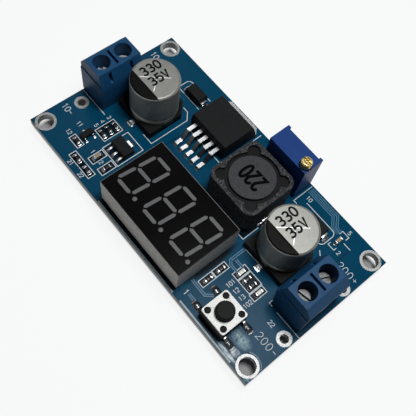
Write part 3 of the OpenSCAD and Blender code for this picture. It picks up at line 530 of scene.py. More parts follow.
FINISHES: dict[Slot, Finish] = {
    Slot.BOARD: MaskFinish(
        "solder_mask", tone("02415d"), (0.25, 0.33), 0.84, 7.0, 0.25, 0.002, 0.045,
        laminate=tone("7c7c7a"),
    ),
    # Tin with its steep faces painted dark as shade and its upper faces pale
    Slot.TINNED: MetalFinish(
        "tin_plate_painted_shade", tone("5a5c5e"), (0.26, 0.31), 0.7, 0.9, 0.07, 0.0003,
        top=tone("dcdedf"), bare=0.9,
    ),
    Slot.SOLDER: MetalFinish("soft_solder", tone("c2c5c8"), (0.18, 0.36), 0.6, 0.35, 0.12, 0.008),
    Slot.TERMINAL: Finish(
        "terminal_moulding", tone("15466d"), (0.42, 0.55), 0.88, 2.2, 0.12, 0.006, 0.15,
    ),
    # Pale zinc of the input screws; the output screws take a darker copy as painted shade
    Slot.SCREW: MetalFinish(
        "zinc_plated_screw", tone("d4d6d7"), (0.42, 0.58), 0.45, 0.45, 0.06, 0.006, bare=0.5,
    ),
    Slot.BRONZE: MetalFinish("spring_bronze", tone("c39a5e"), (0.3, 0.45)),
    Slot.CAN: MetalFinish(
        "lacquered_can", tone("8f908b"), (0.46, 0.56), 0.84, 1.2, 0.12, 0.003,
        brushing=(1.0, 9.0, 1.0), bare=0.8,
    ),
    Slot.BLACK: Finish("black_nylon", tone("101112"), (0.5, 0.65), 0.7, 0.9, 0.08, 0.005, 0.12),
    Slot.PACKAGE: Finish(
        "package_compound", tone("1a1b1c"), (0.52, 0.68), 0.75, 0.8, 0.07, 0.008, 0.12,
    ),
    Slot.FERRITE: MineralFinish(
        "sintered_ferrite", tone("2a2b2d"), (0.5, 0.72), 0.8, 0.9, 0.16, 0.01, 0.12,
        pale=tone("606265"), share=0.32,
    ),
    Slot.COPPER: MetalFinish("enamelled_copper", tone("b4693a"), (0.25, 0.4)),
    Slot.SEALING: Finish("coil_sealing", tone("0d0d0f"), (0.45, 0.6), 0.6, 0.8, 0.3, 0.02, 0.12),
    Slot.TRIMMER: Finish(
        "trimmer_moulding", tone("1a3d7c"), (0.36, 0.5), 0.88, 1.8, 0.1, 0.005, 0.14,
    ),
    Slot.BRASS: MetalFinish("turned_brass", tone("e6cf86"), (0.22, 0.36), 0.7, 0.5, 0.05, 0.004),
    Slot.DISPLAY: MineralFinish(
        "display_moulding", tone("c0bfba"), (0.5, 0.65), 0.78, 1.2, 0.22, 0.02, 0.2,
        top=tone("0c0c0e"), pale=tone("d2d1cc"), share=0.35, pits=0.28,
    ),
    Slot.DISPLAY_FACE: Finish(
        "display_ink", tone("060607"), (0.24, 0.34), 0.7, 1.5, 0.1, 0.002, 0.03,
    ),
    Slot.SEGMENT: Finish("unlit_segment", tone("616263"), (0.4, 0.55), 0.86, 0.7, 0.08, 0.004, 0.2),
    Slot.BACKING: Finish("cast_backing", tone("d9d5c4"), (0.3, 0.45), 0.9, 1.5),
    Slot.PLATED: MetalFinish(
        "satin_plate", tone("abacaa"), (0.46, 0.6), 0.86, 0.8, 0.06, 0.003,
        brushing=(1.0, 8.0, 1.0), bare=0.75,
    ),
    Slot.RESISTOR: Finish("resistor_film", tone("141416"), (0.3, 0.45), 0.8, 0.4, 0.08, 0.004, 0.3),
    Slot.CERAMIC: Finish("tan_ceramic", tone("9c8a70"), (0.4, 0.55), 0.85, 0.4, 0.06, 0.004, 0.3),
    Slot.LAMP: Finish("lamp_lens", tone("dfe3da"), (0.25, 0.4), 0.88, 0.4, 0.1, 0.003, 0.3),
}
WHITE_INK = Finish("white_board_print", tone("dce5e8"), (0.55, 0.7), 0.8, 0.5, 0.06, 0.003, 0.2)
BLACK_INK = Finish("black_can_print", tone("0a0a0b"), (0.45, 0.6), 0.7, 0.5, 0.06, 0.002, 0.08)
DARK_INK = Finish("dark_coil_print", tone("040405"), (0.6, 0.75), 0.7, 0.5, 0.06, 0.002, 0.03)
TRACE = Finish("copper_under_mask", tone("0d5277"), (0.28, 0.36), 0.85, 1.2, 0.12, 0.002, 0.1)
GAP = Finish("gap_in_copper", tone("022c46"), (0.28, 0.36), 0.85, 1.2, 0.12, 0.002, 0.09)
# Dark laminate without copper; in front of the display the same colour is painted shadow
BARE_AND_SHADED = Finish(
    "bare_laminate_and_painted_shade", tone("021a29"), (0.28, 0.36), 0.85, 1.2, 0.12, 0.002, 0.05,
)
# Painted highlight on the sloped edges of the copper and on the rims round the pads
SLOPE_HIGHLIGHT = Finish(
    "copper_slope_painted_highlight", tone("7399a8"), (0.28, 0.36), 0.8, 1.2, 0.12, 0.002, 0.2,
)
# Bare margin along the near edge, whose pale colour is also a painted highlight
MARGIN_AND_HIGHLIGHT = Finish("bare_margin_and_painted_highlight", tone("a9bcc0"), (0.4, 0.55), 0.7, 1.6, 0.12, 0.002, 0.3)
# Pale rim along the display's far edges: bare plastic, also a painted highlight
BARE_RIM_AND_HIGHLIGHT = Finish("display_rim_painted_highlight", tone("7e8280"), (0.4, 0.55), 0.6, 1.4, 0.12, 0.004, 0.2)
# Dried flux by the push button and the near corner, whose pale colour is also a painted glare
THICK_FLUX_AND_GLARE = HazeFinish("thick_flux_and_painted_glare", cloud_mm=0.8, pale=tone("d2dcde"), core=0.25)
THIN_FLUX_AND_GLARE = HazeFinish("thin_flux_and_painted_glare", cloud_mm=0.7, pale=tone("a0bbbf"), core=0.7)
# Painted shadow: a dark film along the display's near wall and beside the push button
PAINTED_SHADOW = HazeFinish("painted_shadow_film", cloud_mm=3.0, pale=tone("01101a"), core=0.5, patches=(0.05, 0.42))
BRIGHT_SCORE = MetalFinish(
    "vent_score", tone("eceeef"), (0.3, 0.4), 0.9, 0.5, 0.06, 0.002, bare=0.5,
)
CORE_FERRITE = MineralFinish(
    "drum_core_ferrite", tone("37383b"), (0.45, 0.6), 0.85, 1.2, 0.12, 0.006, 0.14,
    pale=tone("47484b"), share=0.3,
)
# Darker copy of the screws' zinc for the output terminal: painted shade
SHADED_ZINC = MetalFinish(
    "zinc_screw_painted_shade", tone("606263"), (0.3, 0.5), 0.4, 0.45, 0.3, 0.03, bare=0.85,
)
RING_TIN = MetalFinish("tinned_ring", tone("acaead"), (0.42, 0.6), 0.78, 0.6, 0.2, 0.005, bare=0.7)
# Darker copy of the solder for the regulator's and push button's joints: painted shade
SHADED_SOLDER = MetalFinish("solder_painted_shade", tone("75787b"), (0.24, 0.42), 0.6, 0.35, 0.12, 0.008)


def put(name: str, data: bpy.types.ID) -> bpy.types.Object:
    """Adds an object with the given data to the scene.

    Args:
        name: Name of the object.
        data: Its mesh, light or camera.

    Returns:
        The new object.
    """
    made = bpy.data.objects.new(name, data)
    bpy.context.scene.collection.objects.link(made)
    return made


def arc(
    centre: Point, rx: float, ry: float, start: float, end: float, steps: int = 10,
) -> list[Point]:
    """Gives points on part of an ellipse.

    Args:
        centre: Middle of the ellipse.
        rx: Half width.
        ry: Half height.
        start: First angle in degrees.
        end: Last angle in degrees.
        steps: Number of steps between them.

    Returns:
        The points, both ends included.
    """
    turns = [math.radians(start + (end - start) * i / steps) for i in range(steps + 1)]
    return [(centre[0] + rx * math.cos(t), centre[1] + ry * math.sin(t)) for t in turns]


def corners(rect: Rect) -> list[Point]:
    """Gives the four corners of a rectangle, against the clock."""
    x0, y0, x1, y1 = rect
    return [(x0, y0), (x1, y0), (x1, y1), (x0, y1)]


def grid(rows: int, columns: int, spot: Callable[[float, float], Place]) -> list[list[Place]]:
    """Gives rows of points, from a rule that takes the shares of the way down and along."""
    return [[spot(i / rows, k / columns) for k in range(columns + 1)] for i in range(rows + 1)]


class Draft:
    """Points and faces of one new piece, in millimetres from the middle of the board's top face."""

    LEAST_SPREAD = 0.5
    NO_LENGTH = 1e-6

    origin = Vector((0.0, 0.0, 0.0))

    def __init__(self) -> None:
        """Starts with no points."""
        self.points: list[Place] = []
        self.faces: list[tuple[int, ...]] = []

    def add(self, points: Iterable[Sequence[float]]) -> list[int]:
        """Adds points.

        Args:
            points: Places in millimetres.

        Returns:
            The numbers of the new points.
        """
        start = len(self.points)
        self.points.extend((p[0], p[1], p[2]) for p in points)
        return list(range(start, len(self.points)))

    def walls(self, low: Sequence[int], high: Sequence[int], closed: bool = True) -> None:
        """Joins two lines of points by a wall.

        Args:
            low: Points of one line.
            high: Points of the other line.
            closed: Whether the lines are rings.
        """
        count = len(low)
        for i in range(count if closed else count - 1):
            j = (i + 1) % count
            self.faces.append((low[i], low[j], high[j], high[i]))

    def prism(self, outline: Path, high: float) -> None:
        """Adds a plate that lies on the board.

        Args:
            outline: Corners, against the clock.
            high: Height of the top.
        """
        foot, top = (self.add((x, y, z) for x, y in outline) for z in (0.0, high))
        self.faces += [tuple(reversed(foot)), tuple(top)]
        self.walls(foot, top)

    def stroke(
        self, path: Path, width: float, low: float, high: float, closed: bool = False,
    ) -> None:
        """Adds a flat line of even width, mitred at its corners.

        Args:
            path: Corners of the line's middle.
            width: Width of the line.
            low: Height of the underside.
            high: Height of the top.
            closed: Whether the line returns to its start.
        """
        points = [Vector(p) for p in path]
        ends = points[1:] + points[:1] if closed else points[1:]
        steps = [(end - start).normalized() for start, end in zip(points, ends)]
        left: list[Vector] = []
        right: list[Vector] = []
        for i, point in enumerate(points):
            first = steps[i - 1 if closed else max(i - 1, 0)]
            second = steps[min(i, len(steps) - 1)]
            across = Vector((-first.y, first.x))
            normal = Vector((-(first + second).y, (first + second).x))
            normal = normal.normalized() if normal.length > self.NO_LENGTH else across
            reach = normal * (width / 2 / max(self.LEAST_SPREAD, normal.dot(across)))
            left.append(point + reach)
            right.append(point - reach)
        levels = [
            self.add((p.x, p.y, height) for p in side)
            for side, height in ((left, low), (right, low), (right, high), (left, high))
        ]
        for here, there in zip(levels, levels[1:] + levels[:1]):
            self.walls(here, there, closed)
        if not closed:
            self.faces.append(tuple(level[0] for level in levels))
            self.faces.append(tuple(level[-1] for level in reversed(levels)))

    def strokes(
        self, paths: Iterable[Path], width: float, high: float, closed: bool = False,
    ) -> "Draft":
        """Adds lines that lie on the board.

        Args:
            paths: Corners of each line's middle.
            width: Width of the lines.
            high: Height of their top.
            closed: Whether the lines return to their starts.

        Returns:
            The draft itself.
        """
        for path in paths:
            self.stroke(path, width, 0.0, high, closed)
        return self

    def skin(self, rows: Sequence[Sequence[Place]], under: Callable[[float], float]) -> None:
        """Adds a curved skin on straight walls with an underside.

        Args:
            rows: Points of the skin, row by row.
            under: Gives the underside's height from the skin's height.
        """
        tops = [self.add(row) for row in rows]
        feet = [self.add((x, y, under(z)) for x, y, z in row) for row in rows]
        rims = []
        for level in (tops, feet):
            for first, second in zip(level, level[1:]):
                self.walls(first, second, closed=False)
            rim = list(level[0]) + [row[-1] for row in level[1:-1]]
            rims.append(rim + list(reversed(level[-1])) + [row[0] for row in reversed(level[1:-1])])
        self.walls(rims[1], rims[0])

    def piece(
        self, name: str, finish: Finish, slot: Slot, body: str = ROOT, smooth: bool = False,
    ) -> bpy.types.Object:
        """Turns the draft into a piece that rides on a body.

        Args:
            name: Name of the piece.
            finish: Its finish.
            slot: Record slot that its finish belongs to; not used.
            body: Body that carries it.
            smooth: Whether its faces are shaded as one curved skin.

        Returns:
            The new piece.
        """
        mesh = bpy.data.meshes.new(name)
        mesh.from_pydata([self.origin + Vector(p) * MM for p in self.points], [], self.faces)
        mesh.validate()
        work = bmesh.new()
        work.from_mesh(mesh)
        bmesh.ops.recalc_face_normals(work, faces=work.faces)
        work.to_mesh(mesh)
        work.free()
        if smooth:
            mesh.polygons.foreach_set("use_smooth", [True] * len(mesh.polygons))
        mesh.materials.append(finish.material())
        made = put(name, mesh)
        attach(made, body)
        LOG.info("piece %s: %d faces on %s", name, len(mesh.polygons), body)
        return made


# Strokes of each character, one unit high
GLYPHS: dict[str, list[Path]] = {
    "0": [arc((0.3, 0.5), 0.3, 0.5, 0, 360, 20)],
    "1": [[(0.1, 0.8), (0.32, 1.0), (0.32, 0.0)]],
    "2": [arc((0.3, 0.72), 0.29, 0.28, 165, -25, 9) + [(0.02, 0.0), (0.62, 0.0)]],
    "3": [
        arc((0.28, 0.75), 0.27, 0.25, 150, -90, 9)
        + arc((0.28, 0.26), 0.31, 0.26, 90, -150, 10)[1:],
    ],
    "4": [[(0.5, 0.0), (0.5, 1.0), (0.0, 0.3), (0.64, 0.3)]],
    "5": [[(0.56, 1.0), (0.1, 1.0), (0.05, 0.55)] + arc((0.29, 0.32), 0.31, 0.32, 130, -150, 11)],
    "V": [[(0.0, 1.0), (0.3, 0.0), (0.6, 1.0)]],
    "+": [[(0.05, 0.5), (0.55, 0.5)], [(0.3, 0.25), (0.3, 0.75)]],
    "-": [[(0.05, 0.5), (0.55, 0.5)]],
}


@dataclass(frozen=True)
class Row:
    """Row of printed characters.

    Attributes:
        text: Characters, each in GLYPHS.
        start: Place of the row's lower left corner, as its reader sees it.
        height: Height of a character.
        advance: Distance from one character to the next.
        pen: Width of a stroke.
        heading: Way in which the row runs.
        stretch: Factor on the width of a character.
    """

    LEAST_RING = 4

    text: str
    start: Point
    height: float = 0.85
    advance: float = 0.68
    pen: float = 0.12
    heading: Heading = Heading.ALONG_X
    stretch: float = 1.0

    def draw(
        self, draft: Draft, low: float, high: float, middle: Sequence[float] = (0.0, 0.0),
    ) -> None:
        """Adds the row's strokes to a draft.

        Args:
            draft: Draft of the print.
            low: Height of the strokes' underside.
            high: Height of their top.
            middle: Place that the row's start is measured from.
        """
        (ax, ay), (ux, uy) = self.heading.value
        x, y = middle[0] + self.start[0], middle[1] + self.start[1]
        width = self.height * self.stretch
        for i, character in enumerate(self.text):
            for line in GLYPHS[character]:
                spots = [(i * self.advance + gx * width, gy * self.height) for gx, gy in line]
                path = [(x + ax * out + ux * up, y + ay * out + uy * up) for out, up in spots]
                ring = len(path) > self.LEAST_RING
                closed = ring and math.dist(path[0], path[-1]) < Draft.NO_LENGTH
                draft.stroke(path[:-1] if closed else path, self.pen, low, high, closed)


def local(point: Vector) -> Vector:
    """Turns a place in the frame into millimetres from the middle of the board's top face."""
    return (point - Draft.origin) / MM


def box_of(node: str) -> Box:
    """Gives a node's box in millimetres from the middle of the board's top face."""
    low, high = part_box(node)
    return local(low), local(high)


def solids(node: str) -> list[list[Vector]]:
    """Finds the separate solids of a node.

    Args:
        node: Name of the node.

    Returns:
        The points of each solid, in millimetres from the middle of the board's top face.
    """
    mesh = frame["nodes"][node].data
    keys = [tuple(round(c / MM, 4) for c in v.co) for v in mesh.vertices]
    parent = {key: key for key in keys}

    def root(key: tuple[float, ...]) -> tuple[float, ...]:
        """Follows the links from a point to the first point of its solid.

        Args:
            key: The point.

        Returns:
            The first point.
        """
        while parent[key] != key:
            parent[key] = parent[parent[key]]
            key = parent[key]
        return key

    for polygon in mesh.polygons:
        first, *others = (keys[i] for i in polygon.vertices)
        for other in others:
            parent[root(other)] = root(first)
    groups: dict[tuple[float, ...], list[Vector]] = {}
    for key in parent:
        groups.setdefault(root(key), []).append(local(Vector(key) * MM))
    return list(groups.values())


def islands(node: str) -> list[Box]:
    """Gives the boxes of a node's separate solids, in the order of their places.

    Args:
        node: Name of the node.

    Returns:
        The box of each solid, in millimetres from the middle of the board's top face.
    """
    boxes = []
    for points in solids(node):
        low, high = (Vector([end(p[i] for p in points) for i in range(3)]) for end in (min, max))
        boxes.append((low, high))
    return sorted(boxes, key=lambda b: (round(b[0].x, 3), round(b[0].y, 3)))


@dataclass(frozen=True)
class Dressing:
    """Edge rounding and finish of a frame node.

    Attributes:
        edge: Width of the rounded edges, in millimetres.
        finish: Finish that takes the place of the slot's own.
    """

    SAME_POINT, EDGE_STEPS = 1e-6, 2
    FLAT_ANGLE, EDGE_ANGLE = math.radians(0.5), math.radians(28.0)

    edge: float = 0.05
    finish: Optional[Finish] = None

    def dress(self, node: str, slot: Slot) -> None:
        """Gives the node its finish and its rounded edges.

        Args:
            node: Name of the node.
            slot: Record slot of the node.
        """
        solid = frame["nodes"][node]
        mesh = solid.data
        mesh.materials.clear()
        mesh.materials.append((self.finish or FINISHES[slot]).material())
        if "custom_normal" in mesh.attributes:
            mesh.attributes.remove(mesh.attributes["custom_normal"])
        mesh.polygons.foreach_set("use_smooth", [True] * len(mesh.polygons))
        for name, kind, values in (
            ("join_points", "WELD", {"merge_threshold": self.SAME_POINT}),
            ("join_flats", "DECIMATE", {
                "decimate_type": "DISSOLVE", "angle_limit": self.FLAT_ANGLE,
            }),
            ("round_edges", "BEVEL", {
                "width": self.edge * MM, "segments": self.EDGE_STEPS, "limit_method": "ANGLE",
                "angle_limit": self.EDGE_ANGLE, "use_clamp_overlap": True,
            }),
            ("even_shading", "WEIGHTED_NORMAL", {"keep_sharp": False}),
        ):
            modifier = solid.modifiers.new(name, kind)
            for key, value in values.items():
                setattr(modifier, key, value)
        LOG.info("node %s: %s", node, mesh.materials[0].name)


DRESSINGS: dict[str, Dressing] = {
    "circuit_board": Dressing(0.08),
    "hole_plating": Dressing(0.02, RING_TIN),
    **{f"{side}_terminal_housing": Dressing(0.14) for side in SIDES},
    # The output screws take the darker zinc: painted shade
    **{f"output_{pole}_screw": Dressing(0.05, SHADED_ZINC) for pole in ("positive", "negative")},
    **{f"{side}_capacitor_can": Dressing(0.02) for side in SIDES},
    **{f"{side}_capacitor_base": Dressing(0.15) for side in SIDES},
    "regulator_body": Dressing(0.1),
    "inductor_shield": Dressing(0.14),
    "inductor_core": Dressing(0.1, CORE_FERRITE),
    "trimmer_body": Dressing(0.1),
    "trimmer_screw": Dressing(0.06),
    "display_housing": Dressing(0.2),
    "display_face": Dressing(0.03),
    "display_segments": Dressing(0.03),
    "switch_base": Dressing(0.08),
    "switch_cover": Dressing(0.06),
    "switch_button": Dressing(0.08),
    "switch_leads": Dressing(0.05, FINISHES[Slot.TINNED]),
}


@dataclass(frozen=True)
class Lead:
    """End of a lead on the board.

    Attributes:
        tip: Middle of the lead's end.
        way: Direction in which the lead points.
        half: Half width of the lead.
        height: Height to which the solder climbs.
    """

    tip: Vector
    way: Vector
    half: float
    height: float

    def spot(self, out: float, side: float, rise: float) -> Place:
        """Gives the place at a distance beyond the tip, a distance across the lead and a height."""
        place = self.tip + self.way * out + Vector((-self.way.y, self.way.x, 0.0)) * side
        return (place.x, place.y, rise)


@dataclass(frozen=True)
class Solder:
    """Solder on the joints of one sub-assembly: a pad on the board and a slope up each lead.

    Attributes:
        group: Name of the sub-assembly.
        leads: Last word of the leads' node.
        body: Last word of the node that the leads belong to.
        reach: Length of the slope beyond the lead.
        climb: Share of the lead's height that the slope covers.
        margin: How far the pad is wider than the lead.
        height: Height of a lead's foot, where the lead itself stands taller.
        pad_height: Height of the solder at the edge of the pad.
        back: Length of the solder along both sides of the lead, behind its end.
        finish: Finish of the solder.
    """

    SLOPE_STEPS, SLOPE_TUCK, SLOPE_HOLLOW = (7, 8), 0.02, 2.2
    SLOPE_ROUND, SLOPE_FOOT, SLOPE_TAPER, SLOPE_SAG = 0.35, 0.4, 0.1, 0.45
    BED_STEPS, BED_START, BED_CROWN = (6, 10), 0.06, 1.6
    BED_MARGIN, BED_TAPER, BED_WAVE, BED_TURN = 0.9, 0.18, 0.15, 5.0

    group: str
    leads: str
    body: str
    reach: float = 0.45
    climb: float = 0.8
    margin: float = 0.12
    height: Optional[float] = None
    pad_height: float = 0.03
    back: float = 0.0
    finish: Finish = FINISHES[Slot.SOLDER]

    def outward(self, lead: Box, bodies: Sequence[Box]) -> Vector:
        """Finds the way in which a lead leaves its body.

        Args:
            lead: Box of the lead.
            bodies: Boxes of the bodies.

        Returns:
            The direction on the board.
        """
        middle = (lead[0] + lead[1]) / 2
        body = min(bodies, key=lambda b: ((b[0] + b[1]) / 2 - middle).length)
        overhang = {
            (1.0, 0.0): lead[1].x - body[1].x, (-1.0, 0.0): body[0].x - lead[0].x,
            (0.0, 1.0): lead[1].y - body[1].y, (0.0, -1.0): body[0].y - lead[0].y,
        }
        return Vector((*max(overhang, key=lambda way: overhang[way]), 0.0))

    def build(self) -> None:
        """Makes the pads and slopes of all the leads."""
        draft = Draft()
        bodies = islands(f"{self.group}_{self.body}")
        for low, high in islands(f"{self.group}_{self.leads}"):
            way = self.outward((low, high), bodies)
            size = high - low
            tip = (low + high) / 2 + way * (abs(size.dot(way)) / 2)
            half = abs(size.dot(Vector((-way.y, way.x, 0.0)))) / 2
            lead = Lead(tip, way, half, (self.height or size.z) * self.climb)
            self.slope(draft, lead)
            if self.back:
                self.bed(draft, lead)
        draft.piece(f"{self.group}_solder", self.finish, Slot.SOLDER, smooth=True)

    def slope(self, draft: Draft, lead: Lead) -> None:
        """Adds the solder of one lead: it hugs the lead's end and both sides of its foot.

        Args:
            draft: Draft of the piece.
            lead: The lead.
        """

        def spot(out: float, along: float) -> Place:
            """Gives a point of the slope.

            Args:
                out: Share of the way from the lead to the end of the pad.
                along: Share of the way across the pad.

            Returns:
                The point.
            """
            side = 2.0 * along - 1.0
            bulge = 1.0 - self.SLOPE_ROUND * side * side * out
            foot = self.margin * (self.SLOPE_FOOT + (1.0 - self.SLOPE_FOOT) * out)
            spread = lead.half + foot - self.SLOPE_TAPER * lead.half * out * out
            sag = 1.0 - self.SLOPE_SAG * abs(side) ** 3
            rise = lead.height * (1.0 - out) ** self.SLOPE_HOLLOW * sag
            beyond = self.reach * out * bulge - self.SLOPE_TUCK
            return lead.spot(beyond, spread * side, self.pad_height + rise)

        draft.skin(grid(*self.SLOPE_STEPS, spot), lambda height: 0.0)

    def bed(self, draft: Draft, lead: Lead) -> None:
        """Adds the solder that a lead's foot lies in, highest along the lead.

        Args:
            draft: Draft of the piece.
            lead: The lead.
        """

        def spot(behind: float, along: float) -> Place:
            """Gives a point of the bed.

            Args:
                behind: Share of the way from the lead's end to the end of the bed.
                along: Share of the way across the bed.

            Returns:
                The point.
            """
            side = 2.0 * along - 1.0
            spread = lead.half + self.margin * self.BED_MARGIN
            spread *= 1.0 - self.BED_TAPER * behind ** 3
            wave = 1.0 - self.BED_WAVE + self.BED_WAVE * math.cos(self.BED_TURN * behind)
            rise = lead.height * (1.0 - abs(side) ** self.BED_CROWN) * wave
            beyond = self.BED_START - self.back * behind
            return lead.spot(beyond, spread * side, self.pad_height + rise)

        draft.skin(list(reversed(grid(*self.BED_STEPS, spot))), lambda height: 0.0)


@dataclass(frozen=True)
class BoardPrint:
    """Copper under the mask, dried flux, painted shade and painted highlights on it, and white
    print on top.

    Attributes:
        pen: Width of a printed line.
        ink: Thickness of the print.
        trace: Width of a copper trace.
        copper: Thickness of the copper.
        gap: Width of a gap between two areas of copper.
        film: Thickness of the mask's sheen over a gap.
        slope: Width of the slope along both sides of a trace, painted pale as a highlight.
        margin: Width of the bare margin along the near edge, which is also a painted highlight.
        boxes: Corners of the printed frames round chips, which have no copper in them.
        frames: Corners of the other printed frames.
        bare_and_shaded_areas: Corners of the other dark areas: laminate without copper, and in
            front of the display a strip whose darkness is painted shadow.
        lines: Other printed lines.
        margins: Ends of the bare margins, whose pale colour is also a painted highlight on the near
            edge.
        traces: Middle lines of the copper traces.
        gaps: Middle lines of the gaps.
        hazes: Middle, half widths and finish of the dried flux with its painted glare, and of the
            painted shadow.
        rims: Middle, radius, and first and last angle of the rims round the pads, painted pale as a
            highlight.
        rows: Printed numbers.
    """

    RIM_STEPS = 24
    HAZE_STEPS = 36

    pen: float = 0.15
    ink: float = 0.02
    trace: float = 0.35
    copper: float = 0.03
    gap: float = 0.26
    film: float = 0.006
    slope: float = 0.09
    margin: float = 0.34
    boxes: tuple[Rect, ...] = (
        (-23.4, -9.2, -20.2, -4.7), (-25.0, -14.3, -22.0, -12.8), (-19.0, -14.0, -17.3, -10.7),
        (-15.9, -14.0, -14.2, -10.7), (-21.8, -16.5, -18.5, -14.9), (-18.5, -16.5, -15.3, -14.9),
        (16.5, -7.0, 18.0, -3.9), (18.2, -7.0, 21.3, -3.9),
        (21.5, -7.2, 23.0, -4.1), (13.7, -12.9, 15.2, -9.85), (13.7, -9.65, 15.2, -6.6),
    )
    frames: tuple[Rect, ...] = ((-19.2, -10.4, -14.1, -4.2),)
    bare_and_shaded_areas: tuple[Rect, ...] = (
        # The second area, in front of the display, is painted shadow
        (-18.9, -10.3, -14.4, -8.5), (-10.3, -17.59, 12.3, -16.9), (9.5, -0.75, 12.42, 3.0),
    )
    lines: tuple[Path, ...] = (
        [(-32.7, -5.45), (-25.3, -5.45)],
        [(24.8, -4.4), (24.8, -5.2), (25.6, -5.2)],
        [(27.0, -5.3), (32.9, -5.3)],
        [(12.5, 17.7), (12.5, 12.6), (13.4, 12.6)],
        [(-17.2, 8.6), (-15.9, 8.6), (-14.3, 7.2), (-14.3, -2.0), (-17.0, -2.0)],
        [(-12.0, 6.2), (-2.7, 6.2)],
        [(-2.5, 17.3), (-2.5, 15.0)],
        [(-15.0, 10.9), (-20.8, 10.95)] + arc((-20.9, 11.9), 0.95, 0.95, 270, 180, 6)
        + arc((-20.9, 13.15), 0.95, 0.95, 180, 90, 6) + [(-15.1, 14.15)],
        [(14.5, 14.3), (21.8, 14.3)] + arc((21.8, 13.3), 1.0, 1.0, 90, 0, 6)
        + arc((21.8, 11.2), 1.0, 1.0, 0, -90, 6) + [(15.6, 10.2)],
        [(24.6, -1.9), (24.6, 8.3), (23.2, 9.4)],
        [(23.2, 14.9), (23.2, 15.8), (24.9, 15.8), (24.9, 14.9)],
        [(23.3, 12.3), (23.3, 11.6), (24.9, 11.6), (24.9, 12.3)],
        [(25.1, 14.15), (26.9, 14.15)],
        [(9.5, -0.85), (12.52, -0.85), (12.52, 3.1)],
        [(14.2, -1.8), (17.9, -1.7)],
    )
    margins: tuple[Path, ...] = (
        [(-10.3, -17.77), (12.45, -17.77)], [(14.4, -17.72), (28.4, -17.72)],
    )
    traces: tuple[Path, ...] = (
        [(12.9, 17.3), (20.3, 17.3), (21.9, 15.5), (23.2, 15.3)],
        [(12.9, 16.5), (19.8, 16.5), (21.3, 14.9), (23.0, 14.7)],
        [(12.8, -13.5), (16.4, -13.55), (17.5, -12.3)],
        [(14.5, -15.67), (17.0, -15.67)],
        [(14.2, -1.6), (14.2, -5.4), (15.0, -6.0), (16.9, -6.0)],
        [(14.8, -4.6), (16.9, -4.6)],
    )
    gaps: tuple[Path, ...] = (
        [(26.85, 14.0), (26.95, 6.0)], [(-13.4, -6.2), (-12.4, -5.0), (-12.4, 5.6)],
    )
    hazes: tuple[tuple[Point, float, float, Finish], ...] = (
        # The first four hazes are dried flux with a painted glare
        ((26.7, -17.13), 2.8, 0.4, THICK_FLUX_AND_GLARE), ((27.75, -15.95), 0.95, 0.85, THICK_FLUX_AND_GLARE),
        ((26.75, -13.65), 2.55, 1.4, THIN_FLUX_AND_GLARE), ((32.3, -17.35), 0.65, 0.6, THIN_FLUX_AND_GLARE),
        # The last two hazes are painted shadow, along the display and beside the push button
        ((12.6, -8.48), 1.12, 7.5, PAINTED_SHADOW), ((21.0, -16.95), 2.85, 0.55, PAINTED_SHADOW),
    )
    rims: tuple[tuple[Point, float, float, float], ...] = (((30.8, -15.8), 2.42, 32.0, 145.0),)
    rows: tuple[Row, ...] = (
        Row("10-", (-32.1, -11.3), 1.3, 1.0, 0.14),
        Row("10+", (-32.1, 11.3), 1.3, 1.0, 0.14),
        Row("200-", (27.7, -11.3), 1.45, 1.3, 0.11),
        Row("200+", (27.4, 9.7), 1.45, 1.3, 0.12),
        Row("11", (-27.0, -11.2)),
        Row("12", (-26.8, -13.9)),
        Row("3", (-24.5, -5.6)),
        Row("4", (-24.5, -7.2)),
        Row("5", (-24.5, -8.7)),
        Row("1", (-19.9, -12.8)),
        Row("2", (-17.0, -12.9)),
        Row("21", (-20.8, -17.6), 0.8, 0.64),
        Row("22", (-17.4, -17.6), 0.8, 0.64),
        Row("10", (13.6, 14.9)),
        Row("5", (24.1, 16.2)),
        Row("2", (25.6, 11.5)),
        Row("101", (18.1, -9.3), advance=0.66, heading=Heading.ALONG_Y),
        Row("12", (19.8, -9.1), advance=0.66, heading=Heading.ALONG_Y),
        Row("13", (21.4, -9.1), advance=0.66, heading=Heading.ALONG_Y),
        Row("102", (23.0, -9.4), advance=0.66, heading=Heading.ALONG_Y),
        Row("1", (13.6, -16.4), 1.1, 0.9, 0.15),
        Row("22", (27.3, -7.9)),
    )

    def build(self) -> None:
        """Makes the copper with its painted highlights, the bare margin, the flux, the painted
        shade, the outlines and the labels.
        """
        copper = Draft().strokes(self.traces, self.trace, self.copper)
        copper.piece("board_traces", TRACE, Slot.BOARD)
        # Pale strokes along the traces and round the pads: painted highlights
        slopes = Draft().strokes(self.traces, self.trace + 2.0 * self.slope, self.copper / 2)
        rims = [arc(at, r, r, start, end, self.RIM_STEPS) for at, r, start, end in self.rims]
        slopes.strokes(rims, self.slope, self.film)
        slopes.piece("board_trace_highlights", SLOPE_HIGHLIGHT, Slot.BOARD)
